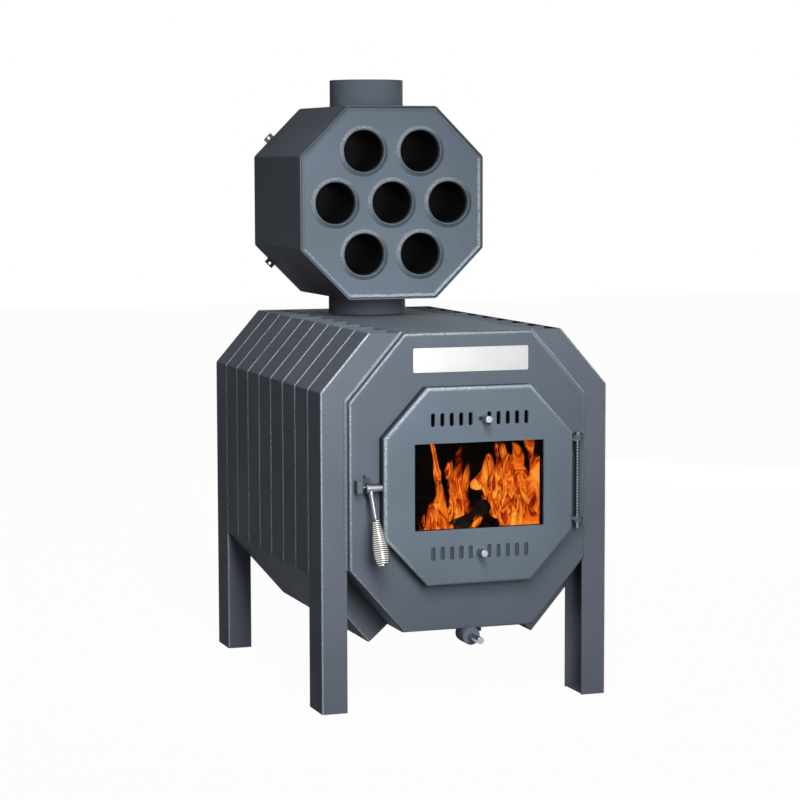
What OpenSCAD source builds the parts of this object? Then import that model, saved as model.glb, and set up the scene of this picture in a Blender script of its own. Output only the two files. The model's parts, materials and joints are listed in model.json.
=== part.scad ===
// Workshop stove: an octagonal firebox wrapped in bent air channels, with a tube heat exchanger on its flue.
// The build plane y = 0 is the front face of the leg channels, x = 0 the middle, z = 0 the floor.

/* [Body] */
// Width over the leg channels
body_w = 565; // [540:1:600]
// Height of the flat top
top_z = 700; // [670:1:740]
// Height of the drum's underside
drum_bottom_z = 145; // [120:1:170]
// Depth of a channel, from its outer face to the drum
duct_depth = 49; // [40:1:56]
// Width of a channel along the body
duct_pitch = 82.2; // [76:0.1:90]
// Middle channels on each side, between the leg channels
duct_count = 7; // [6:1:8]
// Width of the drum's flat top
top_flat = 251; // [236:1:266]
// Width of the drum's flat underside
bottom_flat = 256; // [236:1:270]
// Angle of the slanted sides above the horizontal
slant = 49; // [46:0.5:51]
// Sheet thickness of the channels
channel_t = 3; // [2:0.5:4]
// Outside bend radius of the channels
channel_bend_r = 5; // [4.5:0.5:8]
// Thickness of the foot plates
foot_t = 4; // [3:0.5:6]

/* [Firebox] */
// Sheet thickness of the drum
drum_t = 4; // [3:0.5:5]
// How far the drum stands in front of the channels
drum_proud = 5; // [3:0.5:8]
// Leg of the weld bead between channels and drum
seam_weld = 6; // [4:0.5:8]
// How far the rear plate sits inside the drum's end
rear_inset = 4; // [2:0.5:8]
// Thickness of the fire bricks
brick_t = 25; // [20:1:30]
// Length of a fire brick along the body
brick_l = 230; // [200:5:240]
// Fire bricks in a row
brick_rows = 3; // [2:1:3]
// Width of the ash channel between the floor bricks
ash_gap = 44; // [40:1:60]
// Height of the baffle plate
baffle_z = 616; // [600:1:630]
// Distance from the channel fronts to the baffle's front edge
baffle_front = 210; // [180:5:260]
// Thickness of the baffle plate
baffle_t = 4; // [3:0.5:6]
// Leg of the baffle's angle rails
rail_leg = 20; // [15:1:25]

/* [Front plate] */
// How far the plate's face stands in front of the channels
plate_proud = 14.5; // [12:0.5:20]
// Sheet thickness of the plate
plate_t = 4; // [3:0.5:5]
// How much smaller than the drum the plate is all round
plate_inset = 1; // [0.5:0.5:3]
// Radius of the plate's folded edges
plate_edge_r = 5; // [3:0.5:6]
// Width of the name plate
name_w = 226.5; // [200:0.5:240]
// Height of the name plate
name_h = 45.5; // [40:0.5:50]
// Thickness of the name plate
name_t = 1.5; // [1:0.5:2]
// Height of the name plate's middle
name_z = 649; // [645:1:655]
// Sideways place of the name plate
name_x = 3.5; // [0:0.5:6]

/* [Door] */
// Width of the door
door_w = 372; // [360:1:380]
// Height of the door
door_h = 366; // [350:1:380]
// Width of the door's flat top and bottom
door_flat = 204; // [190:1:215]
// Angle of the door's slanted sides
door_slant = 47.3; // [45:0.1:50]
// Height of the door's middle
door_z = 418; // [412:1:424]
// Sideways place of the door's middle
door_x = 10.5; // [6:0.5:12]
// Depth of the door's box
door_depth = 27; // [24:0.5:34]
// Gap between the door's box and the plate
door_gap = 2; // [1:0.5:4]
// Sheet thickness of the door
door_t = 4; // [3:0.5:5]
// Radius of the door's folded edges
door_edge_r = 7; // [5:0.5:9]
// Width of the window
glass_w = 254; // [230:1:262]
// Height of the window
glass_h = 160; // [140:1:166]
// How far the pane reaches behind the window's edge
glass_lap = 9; // [6:0.5:10]
// Thickness of the pane
glass_t = 4; // [4:0.5:5]
// Thickness of the flat gasket under the pane
gasket_t = 1.5; // [1:0.5:2]
// Width of the rope seal
seal_w = 14; // [12:0.5:16]
// Depth of the rope seal
seal_d = 11; // [8:0.5:12]
// Sheet thickness of the liner
liner_t = 2; // [1.5:0.5:2.5]

/* [Air slides] */
// Width of an air slot
slot_w = 8; // [6:0.5:9]
// Height of an air slot
slot_h = 25; // [20:0.5:27]
// Distance between slots
slot_pitch = 18.35; // [17.5:0.05:18.5]
// Slots on each side of a knob
slot_side_count = 5; // [4:1:5]
// Height of the slot rows above and below the door's middle
slot_rise = 123.5; // [121:0.5:126]
// Travel of an air slide
slide_travel = 8.5; // [7:0.5:9]
// Height of an air slide's plate
slide_h = 32; // [30:0.5:34]
// Thickness of an air slide's plate
slide_t = 2; // [1.5:0.5:2.5]
// Diameter of a knob
knob_d = 13; // [11:0.5:16]
// Length of a slide's knob
knob_l = 25.5; // [18:0.5:32]
// Diameter of a knob's stem
stem_d = 6; // [4:0.5:7]

/* [Hinge] */
// Distance of the hinge axis behind the door's face
hinge_depth = 11; // [9:0.5:13]
// Distance from the door's edge to the hinge axis
hinge_out = 12.3; // [11.5:0.1:14]
// Height of the spring's upper end
hinge_top_z = 492; // [480:1:496]
// Height of the spring's lower end
hinge_low_z = 348.5; // [344:0.5:356]
// How far a plate ear reaches past the hinge axis
ear_reach = 13; // [10:0.5:15]
// Thickness of a hinge ear
ear_t = 5; // [4:0.5:6]
// Diameter of the hinge pin
hinge_pin_d = 6; // [5:0.5:6]
// Length of the pin below the lower ear
hinge_tail = 12; // [8:0.5:14]
// Wire of the hinge spring
spring_wire = 2; // [1.6:0.1:2.4]
// Mean diameter of the hinge spring
spring_d = 9; // [9:0.1:11]
// Turns of the hinge spring
spring_turns = 25; // [22:1:27]

/* [Latch] */
// Height of the latch's axis
latch_z = 420; // [410:1:430]
// Length of the latch's hub
hub_l = 27; // [24:0.5:30]
// Diameter of the latch's hub
hub_d = 16; // [14:0.5:18]
// Diameter of the latch's pivot
pivot_d = 6; // [5:0.5:8]
// Diameter of the latch's catch finger
finger_d = 5; // [4:0.5:6]
// Length of the latch's catch finger
finger_l = 5.5; // [4:0.5:8]
// Outward lean of the lever
lever_out = 15; // [10:1:20]
// Sideways lean of the lever
lever_lean = 5; // [3:1:7]
// Diameter of the lever's rod
rod_d = 9; // [8:0.5:10]
// Distance from the latch's axis to the grip
grip_start = 57; // [50:1:65]
// Length of the wound grip
grip_l = 88; // [80:1:95]
// Wire of the grip
grip_wire = 3.2; // [2.8:0.1:3.4]
// Turns of the grip
grip_turns = 21; // [19:1:22]
// Mean radius of the grip at its widest
grip_r = 14; // [12:0.5:15]
// Diameter of the lever's core inside the grip
core_d = 5; // [4:0.5:5]
// Gap between the latch's catch and its keeper
keeper_gap = 0.7; // [0.5:0.1:1.5]

/* [Primary air] */
// Outside diameter of the primary air pipe
air_pipe_d = 33.7; // [30:0.1:36]
// Wall of the primary air pipe
air_pipe_t = 2.6; // [2:0.1:3.2]
// Distance from the channel fronts back to the pipe's closed end
air_pipe_l = 14; // [12:1:24]
// Drop of the pipe's axis below the drum
air_pipe_drop = 11; // [9:0.5:13]
// How far the pipe stands in front of the plate
air_pipe_proud = 7; // [4:0.5:10]
// Thickness of the valve's disc
valve_t = 5; // [3:0.5:6]
// Length of the valve's knob
valve_knob_l = 49; // [30:1:52]
// Travel of the valve
valve_travel = 20; // [10:1:25]

/* [Heat exchanger] */
// Width and height of the exchanger
ex_w = 385; // [380:1:395]
// Length of the exchanger
ex_l = 333; // [300:1:360]
// Width of the exchanger's flat sides
ex_flat = 184.6; // [178:0.2:192]
// Play of the lower stub in the collar
collar_play = 1; // [0.5:0.1:1.5]
// Height of the collar between stove and exchanger
collar_h = 36; // [30:1:50]
// Distance of the flue's axis behind the channel fronts
flue_y = 584.5; // [570:0.5:600]
// Outside diameter of the flue stubs
flue_d = 150; // [148:1:151]
// Wall of the flue stubs
flue_t = 2; // [1.5:0.5:3]
// Wall of the collar
collar_t = 3; // [2:0.5:4]
// Height of the upper stub
flue_h = 54.5; // [45:0.5:80]
// Depth of the lower stub inside the stove
flue_dip = 30; // [20:1:40]
// Outside bend radius of the exchanger's shell
ex_bend_r = 6; // [4.5:0.5:10]
// Sheet thickness of the exchanger's shell
ex_t = 3; // [2:0.5:4]
// Thickness of the tube plates
tube_plate_t = 4; // [3:0.5:6]
// How far the tube plates sit inside the shell's rim
tube_plate_inset = 4.5; // [3:0.5:6]
// Outside diameter of the tubes
tube_d = 89; // [80:0.5:92]
// Wall of the tubes
tube_t = 3.5; // [2.5:0.1:4]
// Distance between the tubes' axes
tube_pitch = 118.6; // [112:0.2:122]
// How far the tubes stand out of their plates
tube_proud = 5; // [4:0.5:8]
// Leg of the weld rings on the tubes
tube_weld = 4.5; // [3:0.5:5]
// Width of the weld bead inside the shell's rim
rim_weld = 7; // [4:0.5:8]
// Hole in each rear ear
ear_hole_d = 6.5; // [5:0.1:7]
// Distance along the shell's slanted side from its lower corner to an ear's middle
ear_rise = 49.6; // [42:0.1:70]
// How far a rear ear stands out of the shell
ear_out = 10; // [9:0.5:12]
// Length of a rear ear
ear_l = 20; // [16:0.5:24]
// Thickness of a rear ear
ear_plate_t = 3; // [2:0.5:4]

/* [Hidden] */
$fn = 64;
// Clearances: between flat running faces, between welded round pieces, and of a running pin
gap = 0.3;
seat = 0.15;
run = 0.05;
// A cut runs past the solid by this much, and a bar past the ends of its edge
over = 1;
bar_run = 20;
// Play between loose pieces: bricks, clips, gasket and slots; the latch's hub has it beside the door
play = 1;

body_l = (duct_count + 2) * duct_pitch;
drum_w = body_w / 2 - duct_depth;
plate_y = -plate_proud;
door_back_y = plate_y - door_gap;
door_y = door_back_y - door_depth;
door_inner_y = door_y + door_t;
liner_inset = door_t + seal_w + 2 * seat;
seal_seat_y = plate_y - gap - seal_d;
hinge_x = door_x + door_w / 2 + hinge_out;
hinge_y = door_y + hinge_depth;
latch_x = door_x - door_w / 2;
latch_y = (door_back_y + door_y) / 2;
pipe_y = plate_y - air_pipe_proud;
pipe_z = drum_bottom_z - air_pipe_drop;
ex_r = ex_w / 2;
ex_y = flue_y - ex_l / 2;
ex_z = top_z + collar_h + gap + ex_r;
ex_slant = 45;
collar_r = flue_d / 2 + collar_play + collar_t;
plate_steel = [0.40, 0.44, 0.49];
side_steel = [0.31, 0.33, 0.36];
bright = [0.78, 0.80, 0.82];
duct_numbers = [for (i = [1 : duct_count]) i];

// Octagon with a vertical side at x = w, drawn from the right of its underside, moved out by grow.
// A side's corner moves along its own bisector, so parallel outlines keep an even distance.
function octagon_right(w, z_low, z_top, flat_low, flat_top, angle, grow) = [
    [flat_low + grow * tan(angle / 2), z_low - grow],
    [w + grow, z_low + (w - flat_low) * tan(angle) - grow * tan(45 - angle / 2)],
    [w + grow, z_top - (w - flat_top) * tan(angle) + grow * tan(45 - angle / 2)],
    [flat_top + grow * tan(angle / 2), z_top + grow]
];
function reversed(p) = [for (i = [len(p) - 1 : -1 : 0]) p[i]];
function mirrored(p) = [for (q = reversed(p)) [-q[0], q[1]]];
function octagon(w, z_low, z_top, flat_low, flat_top, angle, grow) =
    let (right = octagon_right(w, z_low, z_top, flat_low, flat_top, angle, grow))
    concat(right, mirrored(right));
function drum_octagon(grow) =
    octagon(drum_w, drum_bottom_z, top_z, bottom_flat / 2, top_flat / 2, slant, grow);
function door_octagon(grow) =
    [for (p = octagon(door_w / 2, door_z - door_h / 2, door_z + door_h / 2,
        door_flat / 2, door_flat / 2, door_slant, grow)) [p[0] + door_x, p[1]]];
function ex_octagon(grow) =
    octagon(ex_r, ex_z - ex_r, ex_z + ex_r, ex_flat / 2, ex_flat / 2, ex_slant, grow);

// A channel's line on the right, depth away from the drum, with both ends run on by ext. The drum's
// own corners are the line at depth 0.
inner_line = octagon_right(drum_w, drum_bottom_z, top_z, bottom_flat / 2, top_flat / 2, slant, 0);
function bends(depth) =
    octagon_right(drum_w, drum_bottom_z, top_z, bottom_flat / 2, top_flat / 2, slant, depth);
function line_end(depth, ext) =
    inner_line[3] + [depth / sin(slant), 0] + ext * [-cos(slant), sin(slant)];
function duct_line(depth, ext) = [
    inner_line[0] + depth * [sin(slant), -cos(slant)] - ext * [cos(slant), sin(slant)],
    bends(depth)[1],
    bends(depth)[2],
    line_end(depth, ext)
];
function leg_line(foot_z, depth, ext) =
    [[drum_w + depth, foot_z - ext], bends(depth)[2], line_end(depth, ext)];

// Extrudes an outline in x and z from y0 back to y1
module slab(y0, y1) {
    translate([0, y1, 0])
        rotate([90, 0, 0])
            linear_extrude(y1 - y0)
                children();
}

module rod_y(x, z, y0, y1, d) {
    translate([x, y1, z])
        rotate([90, 0, 0])
            cylinder(h = y1 - y0, d = d);
}

module rod_x(y, z, x0, x1, d) {
    translate([x0, y, z])
        rotate([0, 90, 0])
            cylinder(h = x1 - x0, d = d);
}

module on_left(left) {
    if (left)
        mirror([1, 0, 0])
            children();
    else
        children();
}

module round_slot(w, h) {
    square([w, h - w], center = true);
    for (end = [-1, 1])
        translate([0, end * (h - w) / 2])
            circle(d = w);
}

// Carries a section, given in y and away from the edge, along each edge of an open line at y0.
// Subtracted from a slab it shapes that slab's edges, with true mitres at the corners.
module edge_bars(line, y0, face) {
    for (i = [0 : len(line) - 2]) {
        a = line[i];
        along = line[i + 1] - a;
        translate([a[0], y0, a[1]])
            rotate([0, -atan2(along[1], along[0]), 0])
                translate([-bar_run, 0, 0])
                    rotate([90, 0, 90])
                        linear_extrude(norm(along) + 2 * bar_run)
                            mirror([face < 0 ? 1 : 0, 0])
                                children();
    }
}

// Section that leaves an edge rounded
module outside_corner(r) {
    difference() {
        translate([-over, -over])
            square([r + over, r + over]);
        translate([r, r])
            circle(r = r);
    }
}

// Folded tray with rounded front edges: outline(grow) is its outline, moved out by grow
module octagon_tray(outline, y0, y1, sheet, r) {
    difference() {
        hull()
            for (turn = [0 : 15 : 90])
                slab(y0 + r * (1 - cos(turn)), y1)
                    polygon(outline(-r * (1 - sin(turn))));
        slab(y0 + sheet, y1 + over)
            polygon(outline(-sheet));
    }
}

// Solid bar between two lines, with both outer edges rounded
module folded_bar(outer, inner, y0, y1, r) {
    difference() {
        slab(y0, y1)
            polygon(concat(outer, reversed(inner)));
        edge_bars(outer, y0, 1)
            outside_corner(r);
        edge_bars(outer, y1, -1)
            outside_corner(r);
    }
}

module duct_channel(number, left) {
    hollow = duct_depth - channel_t;
    on_left(left)
        translate([0, number * duct_pitch, 0])
            color(side_steel)
                difference() {
                    folded_bar(duct_line(duct_depth, 0), duct_line(0, 0), 0, duct_pitch, channel_bend_r);
                    folded_bar(duct_line(hollow, over), duct_line(-over, over),
                        channel_t, duct_pitch - channel_t, channel_bend_r - channel_t);
                }
}

module leg_channel(rear, left) {
    hollow = duct_depth - channel_t;
    on_left(left)
        translate([0, rear ? (duct_count + 1) * duct_pitch : 0, 0])
            color(side_steel)
                difference() {
                    folded_bar(leg_line(0, duct_depth, 0), leg_line(0, 0, 0), 0, duct_pitch, channel_bend_r);
                    folded_bar(leg_line(0, hollow, over), leg_line(0, -over, over),
                        channel_t, duct_pitch - channel_t, channel_bend_r - channel_t);
                }
}

module foot_plates() {
    color(side_steel)
        for (left = [false, true], row = [0, duct_count + 1])
            on_left(left)
                translate([drum_w + channel_t, row * duct_pitch + channel_t, 0])
                    cube([duct_depth - 2 * channel_t, duct_pitch - 2 * channel_t, foot_t]);
}

module firebox_drum() {
    color(side_steel)
        difference() {
            slab(-drum_proud, body_l)
                polygon(drum_octagon(0));
            slab(-drum_proud - over, body_l + over)
                polygon(drum_octagon(-drum_t));
            translate([0, flue_y, top_z - drum_t - over])
                cylinder(h = drum_t + 2 * over, r = collar_r - collar_t, $fn = 128);
            rod_y(0, pipe_z, -drum_proud - over, air_pipe_l + seat, air_pipe_d + 2 * seat);
        }
}

module drum_rear_plate() {
    color(side_steel)
        slab(body_l - rear_inset - drum_t, body_l - rear_inset)
            polygon(drum_octagon(-drum_t));
}

module front_plate() {
    color(plate_steel)
        difference() {
            octagon_tray(function(grow) drum_octagon(grow - plate_inset),
                plate_y, -drum_proud, plate_t, plate_edge_r);
            slab(plate_y - over, over)
                polygon(door_octagon(-liner_inset - 2 * liner_t));
            rod_y(0, pipe_z, plate_y - over, over, air_pipe_d + 2 * seat);
        }
}

// Fillet beads where the channels' fronts meet the drum
module seam_welds() {
    foot_z = inner_line[1][1];
    outer = leg_line(foot_z, seam_weld, 0);
    color(side_steel)
        for (left = [false, true])
            on_left(left)
                difference() {
                    slab(-drum_proud, 0)
                        polygon(concat(outer, reversed(leg_line(foot_z, 0, 0))));
                    edge_bars(outer, -drum_proud, 1)
                        polygon([
                            [-over, -over],
                            [drum_proud, -over],
                            [drum_proud, 0],
                            [0, seam_weld],
                            [-over, seam_weld]
                        ]);
                }
}

module flue_collar() {
    color(side_steel)
        translate([0, flue_y, top_z])
            difference() {
                cylinder(h = collar_h, r = collar_r, $fn = 128);
                translate([0, 0, -over])
                    cylinder(h = collar_h + 2 * over, r = collar_r - collar_t, $fn = 128);
            }
}

// Bricks on the drum's floor and up its lower slants, laid dry
module fire_bricks() {
    corner = drum_octagon(-drum_t);
    floor_w = corner[0][0] - brick_t * tan(slant / 2);
    rise = [cos(slant), sin(slant)];
    normal = [-sin(slant), cos(slant)];
    low = corner[0] + seat * normal;
    high = corner[1] + seat * normal;
    start = low + brick_t * tan(slant / 2) * rise;
    color([0.72, 0.62, 0.48])
        for (row = [0 : brick_rows - 1], left = [false, true])
            on_left(left)
                translate([0, row * (brick_l + play), 0]) {
                    slab(play, brick_l + play)
                        polygon([
                            [ash_gap / 2, low[1]],
                            [low[0] - play, low[1]],
                            [floor_w - play, low[1] + brick_t],
                            [ash_gap / 2, low[1] + brick_t]
                        ]);
                    slab(play, brick_l + play)
                        polygon([low, high, high + brick_t * normal, start + brick_t * normal]);
                }
}

// Half the drum's inside width at a height above its upper bend, or the full half width below it
function drum_inside_x(z) =
    let (corner = drum_octagon(-drum_t)[3])
    min(drum_w - drum_t, corner[0] + (corner[1] - z) / tan(slant));

module baffle_plate() {
    half = drum_inside_x(baffle_z + baffle_t) - gap;
    color([0.25, 0.24, 0.23])
        translate([-half, baffle_front, baffle_z])
            cube([2 * half, body_l - rear_inset - drum_t - gap - baffle_front, baffle_t]);
}

// Angle bars welded to the upper slants, which carry the baffle plate
module baffle_rails() {
    top = drum_inside_x(baffle_z) - seat;
    foot = drum_inside_x(baffle_z - rail_leg) - seat;
    color([0.25, 0.24, 0.23])
        for (left = [false, true])
            on_left(left)
                slab(baffle_front, body_l - rear_inset - drum_t - gap)
                    polygon([[top - rail_leg, baffle_z], [top, baffle_z], [foot, baffle_z - rail_leg]]);
}

module name_plate() {
    corner_r = 3;
    color(bright)
        translate([name_x, 0, name_z])
            slab(plate_y - name_t, plate_y)
                union() {
                    square([name_w - 2 * corner_r, name_h], center = true);
                    square([name_w, name_h - 2 * corner_r], center = true);
                    for (x = [-1, 1], z = [-1, 1])
                        translate([x * (name_w / 2 - corner_r), z * (name_h / 2 - corner_r)])
                            circle(r = corner_r);
                }
}

// Short pipe let into the drum's floor, with an air hole on its top; its closed end guides the valve's rod
module primary_air_pipe() {
    hole_d = 10;
    bore_end = air_pipe_l - air_pipe_t;
    color(side_steel)
        difference() {
            rod_y(0, pipe_z, pipe_y, air_pipe_l, air_pipe_d);
            rod_y(0, pipe_z, pipe_y - over, bore_end, air_pipe_d - 2 * air_pipe_t);
            rod_y(0, pipe_z, bore_end - over, air_pipe_l + over, stem_d + 2 * run);
            translate([0, bore_end - play - hole_d / 2, pipe_z])
                cylinder(h = air_pipe_d, d = hole_d);
        }
}

// Hook on the front plate; its lip ends just short of the catch
keeper_w = 11.5;
keeper_h = 22;
keeper_below = 8;
keeper_reach = 21.5;
keeper_lip = 5;
collar_l = 3;
hub_collar_d = hub_d + 4;
hub_x = latch_x - play;
hub_end = hub_x - hub_l;
catch_end = hub_end - collar_l - finger_l;

// The keeper, and a piece of angle over the latch's collar
module latch_keeper() {
    right = catch_end - keeper_gap;
    collar_top = latch_z + hub_collar_d / 2;
    angle_w = 12.5;
    angle_deep = 15;
    angle_rise = 13;
    angle_t = 3;
    color(side_steel) {
        translate([0, 0, latch_z - keeper_below])
            linear_extrude(keeper_h)
                polygon([
                    [right - keeper_w, plate_y],
                    [right - keeper_w, plate_y - keeper_reach],
                    [right, plate_y - keeper_reach + keeper_lip],
                    [right - keeper_lip, plate_y - keeper_reach + keeper_lip],
                    [right - keeper_w + keeper_lip, plate_y - keeper_lip],
                    [right, plate_y]
                ]);
        translate([hub_end - collar_l, 0, 0]) {
            translate([0, plate_y - angle_deep, collar_top + angle_rise - angle_t])
                cube([angle_w, angle_deep, angle_t]);
            translate([0, plate_y - angle_t, collar_top + play])
                cube([angle_w, angle_t, angle_rise - play]);
        }
    }
}

ear_w = 15;
low_ear_z = hinge_low_z - ear_t;

module ear_plate(x0, x1, y0, y1, z) {
    difference() {
        translate([0, 0, z])
            linear_extrude(ear_t)
                union() {
                    translate([min(x0, x1), min(y0, y1)])
                        square([abs(x1 - x0), abs(y1 - y0)]);
                    translate([hinge_x, hinge_y])
                        circle(d = ear_w);
                }
        translate([hinge_x, hinge_y, z - over])
            cylinder(h = ear_t + 2 * over, d = hinge_pin_d + 2 * run);
    }
}

module plate_hinge_ears() {
    cheek_t = 2.5;
    cheek_h = 2 * ear_t;
    color(side_steel)
        for (z = [hinge_top_z + ear_t + gap, low_ear_z - ear_t - gap]) {
            ear_plate(hinge_x - ear_w / 2, hinge_x + ear_reach, hinge_y, plate_y, z);
            translate([hinge_x + ear_reach - cheek_t, hinge_y - ear_w / 4, z - (cheek_h - ear_t) / 2])
                cube([cheek_t, plate_y - hinge_y + ear_w / 4, cheek_h]);
        }
}

module door_hinge_ears() {
    edge = door_x + door_w / 2;
    half = ear_w / 2 - 1;
    color(side_steel)
        for (z = [hinge_top_z, low_ear_z])
            ear_plate(edge, hinge_x, hinge_y - half, hinge_y + half, z);
}

module hinge_pin() {
    head_h = 5;
    head_z = hinge_top_z + 2 * ear_t + 2 * gap;
    low_z = low_ear_z - ear_t - gap - hinge_tail;
    color(bright)
        translate([hinge_x, hinge_y, 0]) {
            translate([0, 0, low_z])
                cylinder(h = head_z - low_z + over, d = hinge_pin_d);
            translate([0, 0, head_z])
                cylinder(h = head_h, d = 2 * hinge_pin_d, $fn = 6);
        }
}

// A wound wire is one tube: rings of wire_sides corners stand square to the wire's path.
wire_sides = 6;
rings_per_turn = 8;

function unit(v) = v / norm(v);
function tangent(path, i) =
    unit(path[min(i + 1, len(path) - 1)] - path[max(i - 1, 0)]);
function ring(path, i, axis, r) =
    let (
        t = tangent(path, i),
        side = unit(axis - (axis * t) * t),
        other = cross(t, side)
    )
    [for (k = [0 : wire_sides - 1])
        path[i] + r * (cos(k * 360 / wire_sides) * side + sin(k * 360 / wire_sides) * other)];

module wire_tube(path, axis, r) {
    count = len(path);
    points = [for (i = [0 : count - 1]) each ring(path, i, axis, r)];
    walls = [
        for (i = [0 : count - 2], k = [0 : wire_sides - 1])
            let (
                a = i * wire_sides + k,
                b = i * wire_sides + (k + 1) % wire_sides
            )
            each [[a, a + wire_sides, b], [b, a + wire_sides, b + wire_sides]]
    ];
    first_cap = [for (k = [1 : wire_sides - 2]) [0, k, k + 1]];
    last = (count - 1) * wire_sides;
    last_cap = [for (k = [1 : wire_sides - 2]) [last, last + k + 1, last + k]];
    polyhedron(points = points, faces = concat(walls, first_cap, last_cap));
}

// Least distance between two stretches of one wire that are over half a turn apart, less the wire itself
function wire_gap(path, wire) =
    min([
        for (i = [0 : len(path) - 1], j = [i + rings_per_turn / 2 + 1 : 1 : len(path) - 1])
            norm(path[i] - path[j])
    ]) - wire;

// Hinge spring: turns of even pitch round the pin, each end bent square onto its ear
spring_path = let (
    r = spring_d / 2,
    low = hinge_low_z + spring_wire * 1.5,
    high = hinge_top_z - spring_wire * 1.5,
    steps = spring_turns * rings_per_turn
)
    concat(
        [[hinge_x + r, hinge_y, hinge_low_z + gap]],
        [for (i = [0 : steps])
            let (turn = 360 * i / rings_per_turn)
            [hinge_x + r * cos(turn), hinge_y + r * sin(turn), low + (high - low) * i / steps]],
        [[hinge_x + r, hinge_y, hinge_top_z - gap]]
    );

module hinge_spring() {
    color(bright)
        wire_tube(spring_path, [1, 0, 0], spring_wire / 2);
}

module door_shell() {
    window = [glass_w, glass_h];
    knob_slot = stem_d + slide_travel + play;
    color(plate_steel)
        difference() {
            octagon_tray(function(grow) door_octagon(grow), door_y, door_back_y, door_t, door_edge_r);
            translate([door_x, 0, door_z])
                slab(door_y - over, door_inner_y + over)
                    square(window, center = true);
            for (row = [-1, 1])
                translate([door_x, 0, door_z + row * slot_rise])
                    slab(door_y - over, door_inner_y + over) {
                        air_slots();
                        translate([slide_travel / 2, 0])
                            rotate(90)
                                round_slot(stem_d + play, knob_slot);
                    }
        }
}

module air_slots() {
    for (side = [-1, 1], i = [1 : slot_side_count])
        translate([side * i * slot_pitch, 0])
            round_slot(slot_w, slot_h);
}

// Pan inside the door; its flange is the seat of the rope seal
module door_liner() {
    pan_y = door_back_y - liner_t;
    relief = 4;
    color([0.22, 0.22, 0.22])
        difference() {
            union() {
                slab(door_inner_y, door_back_y)
                    polygon(door_octagon(-liner_inset));
                slab(seal_seat_y - seat - liner_t, seal_seat_y - seat)
                    polygon(door_octagon(-door_t));
            }
            slab(door_inner_y - over, pan_y)
                polygon(door_octagon(-liner_inset - liner_t));
            translate([door_x, 0, door_z])
                slab(pan_y - over, door_back_y + over)
                    square([glass_w + relief, glass_h + relief], center = true);
        }
}

module door_rope_seal() {
    color([0.75, 0.73, 0.68])
        slab(seal_seat_y, plate_y - gap)
            difference() {
                polygon(door_octagon(-door_t - seat));
                polygon(door_octagon(-door_t - seat - seal_w));
            }
}

pane_w = glass_w + 2 * glass_lap;
pane_h = glass_h + 2 * glass_lap;
pane_y = door_inner_y + gasket_t;

module door_glass() {
    color([0.15, 0.10, 0.08, 0.6])
        translate([door_x - pane_w / 2, pane_y, door_z - pane_h / 2])
            cube([pane_w, glass_t, pane_h]);
}

module glass_gasket() {
    color([0.75, 0.73, 0.68])
        translate([door_x, 0, door_z])
            slab(door_inner_y, pane_y)
                difference() {
                    square([pane_w, pane_h], center = true);
                    square([glass_w + play, glass_h + play], center = true);
                }
}

clip_w = 16;
clip_t = 2;
clip_foot = 9;
screw_d = 5;
screw_x = pane_w / 2 + (clip_foot + play) / 2;
// Height of the clips above and below the pane's middle, as a share of its height
clip_share = 0.34;

module at_clips() {
    for (side = [-1, 1], level = [-1, 1])
        translate([door_x, 0, door_z + level * clip_share * pane_h])
            mirror([side < 0 ? 1 : 0, 0, 0])
                children();
}

module glass_clips() {
    back_y = pane_y + glass_t;
    color([0.5, 0.5, 0.5])
        at_clips()
            difference() {
                translate([0, 0, -clip_w / 2])
                    linear_extrude(clip_w)
                        polygon([
                            [pane_w / 2 - glass_lap + play, back_y],
                            [pane_w / 2 + play, back_y],
                            [pane_w / 2 + play, door_inner_y],
                            [pane_w / 2 + clip_foot, door_inner_y],
                            [pane_w / 2 + clip_foot, back_y + clip_t],
                            [pane_w / 2 - glass_lap + play, back_y + clip_t]
                        ]);
                rod_y(screw_x, 0, door_inner_y - over, back_y + clip_t + over, screw_d + 2 * seat);
            }
}

module glass_screws() {
    back_y = pane_y + glass_t + clip_t;
    head_h = 3;
    head_d = 8;
    color(bright)
        at_clips() {
            rod_y(screw_x, 0, door_inner_y, back_y + over, screw_d);
            rod_y(screw_x, 0, back_y, back_y + head_h, head_d);
        }
}

slide_half = slot_side_count * slot_pitch + slot_w;

// Rails behind the door's face, above and below each slide
module slide_guides() {
    step = 6;
    lap = 3;
    deep = slide_t + 2 * gap;
    color([0.3, 0.3, 0.3])
        for (row = [-1, 1], rail = [-1, 1])
            translate([door_x, 0, door_z + row * slot_rise])
                mirror([0, 0, rail < 0 ? 1 : 0]) {
                    translate([-slide_half, door_inner_y, slide_h / 2 + gap])
                        cube([2 * slide_half, deep, step]);
                    translate([-slide_half, door_inner_y + deep, slide_h / 2 - lap])
                        cube([2 * slide_half, slide_t, step + lap + gap]);
                }
}

// Slide plates, open when they stand slide_travel to the right: the upper one rests open, the lower closed
module air_slide(row, offset) {
    color(side_steel)
        translate([door_x + offset, 0, door_z + row * slot_rise])
            slab(door_inner_y + gap, door_inner_y + gap + slide_t)
                difference() {
                    square([2 * slide_half, slide_h], center = true);
                    translate([-slide_travel, 0])
                        air_slots();
                }
}

module slide_knob(row, offset) {
    foot = 0.5;
    color(bright)
        translate([door_x + offset, door_y - foot, door_z + row * slot_rise])
            rotate([90, 0, 0]) {
                knob_turning(knob_l - foot);
                translate([0, 0, -foot - door_t - gap])
                    cylinder(h = foot + door_t + gap + over, d = stem_d);
            }
}

// Turned knob with a small chamfer on its rim
module knob_turning(length) {
    chamfer = 0.8;
    rotate_extrude()
        polygon([
            [0, 0],
            [knob_d / 2, 0],
            [knob_d / 2, length - chamfer],
            [knob_d / 2 - chamfer, length],
            [0, length]
        ]);
}

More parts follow.
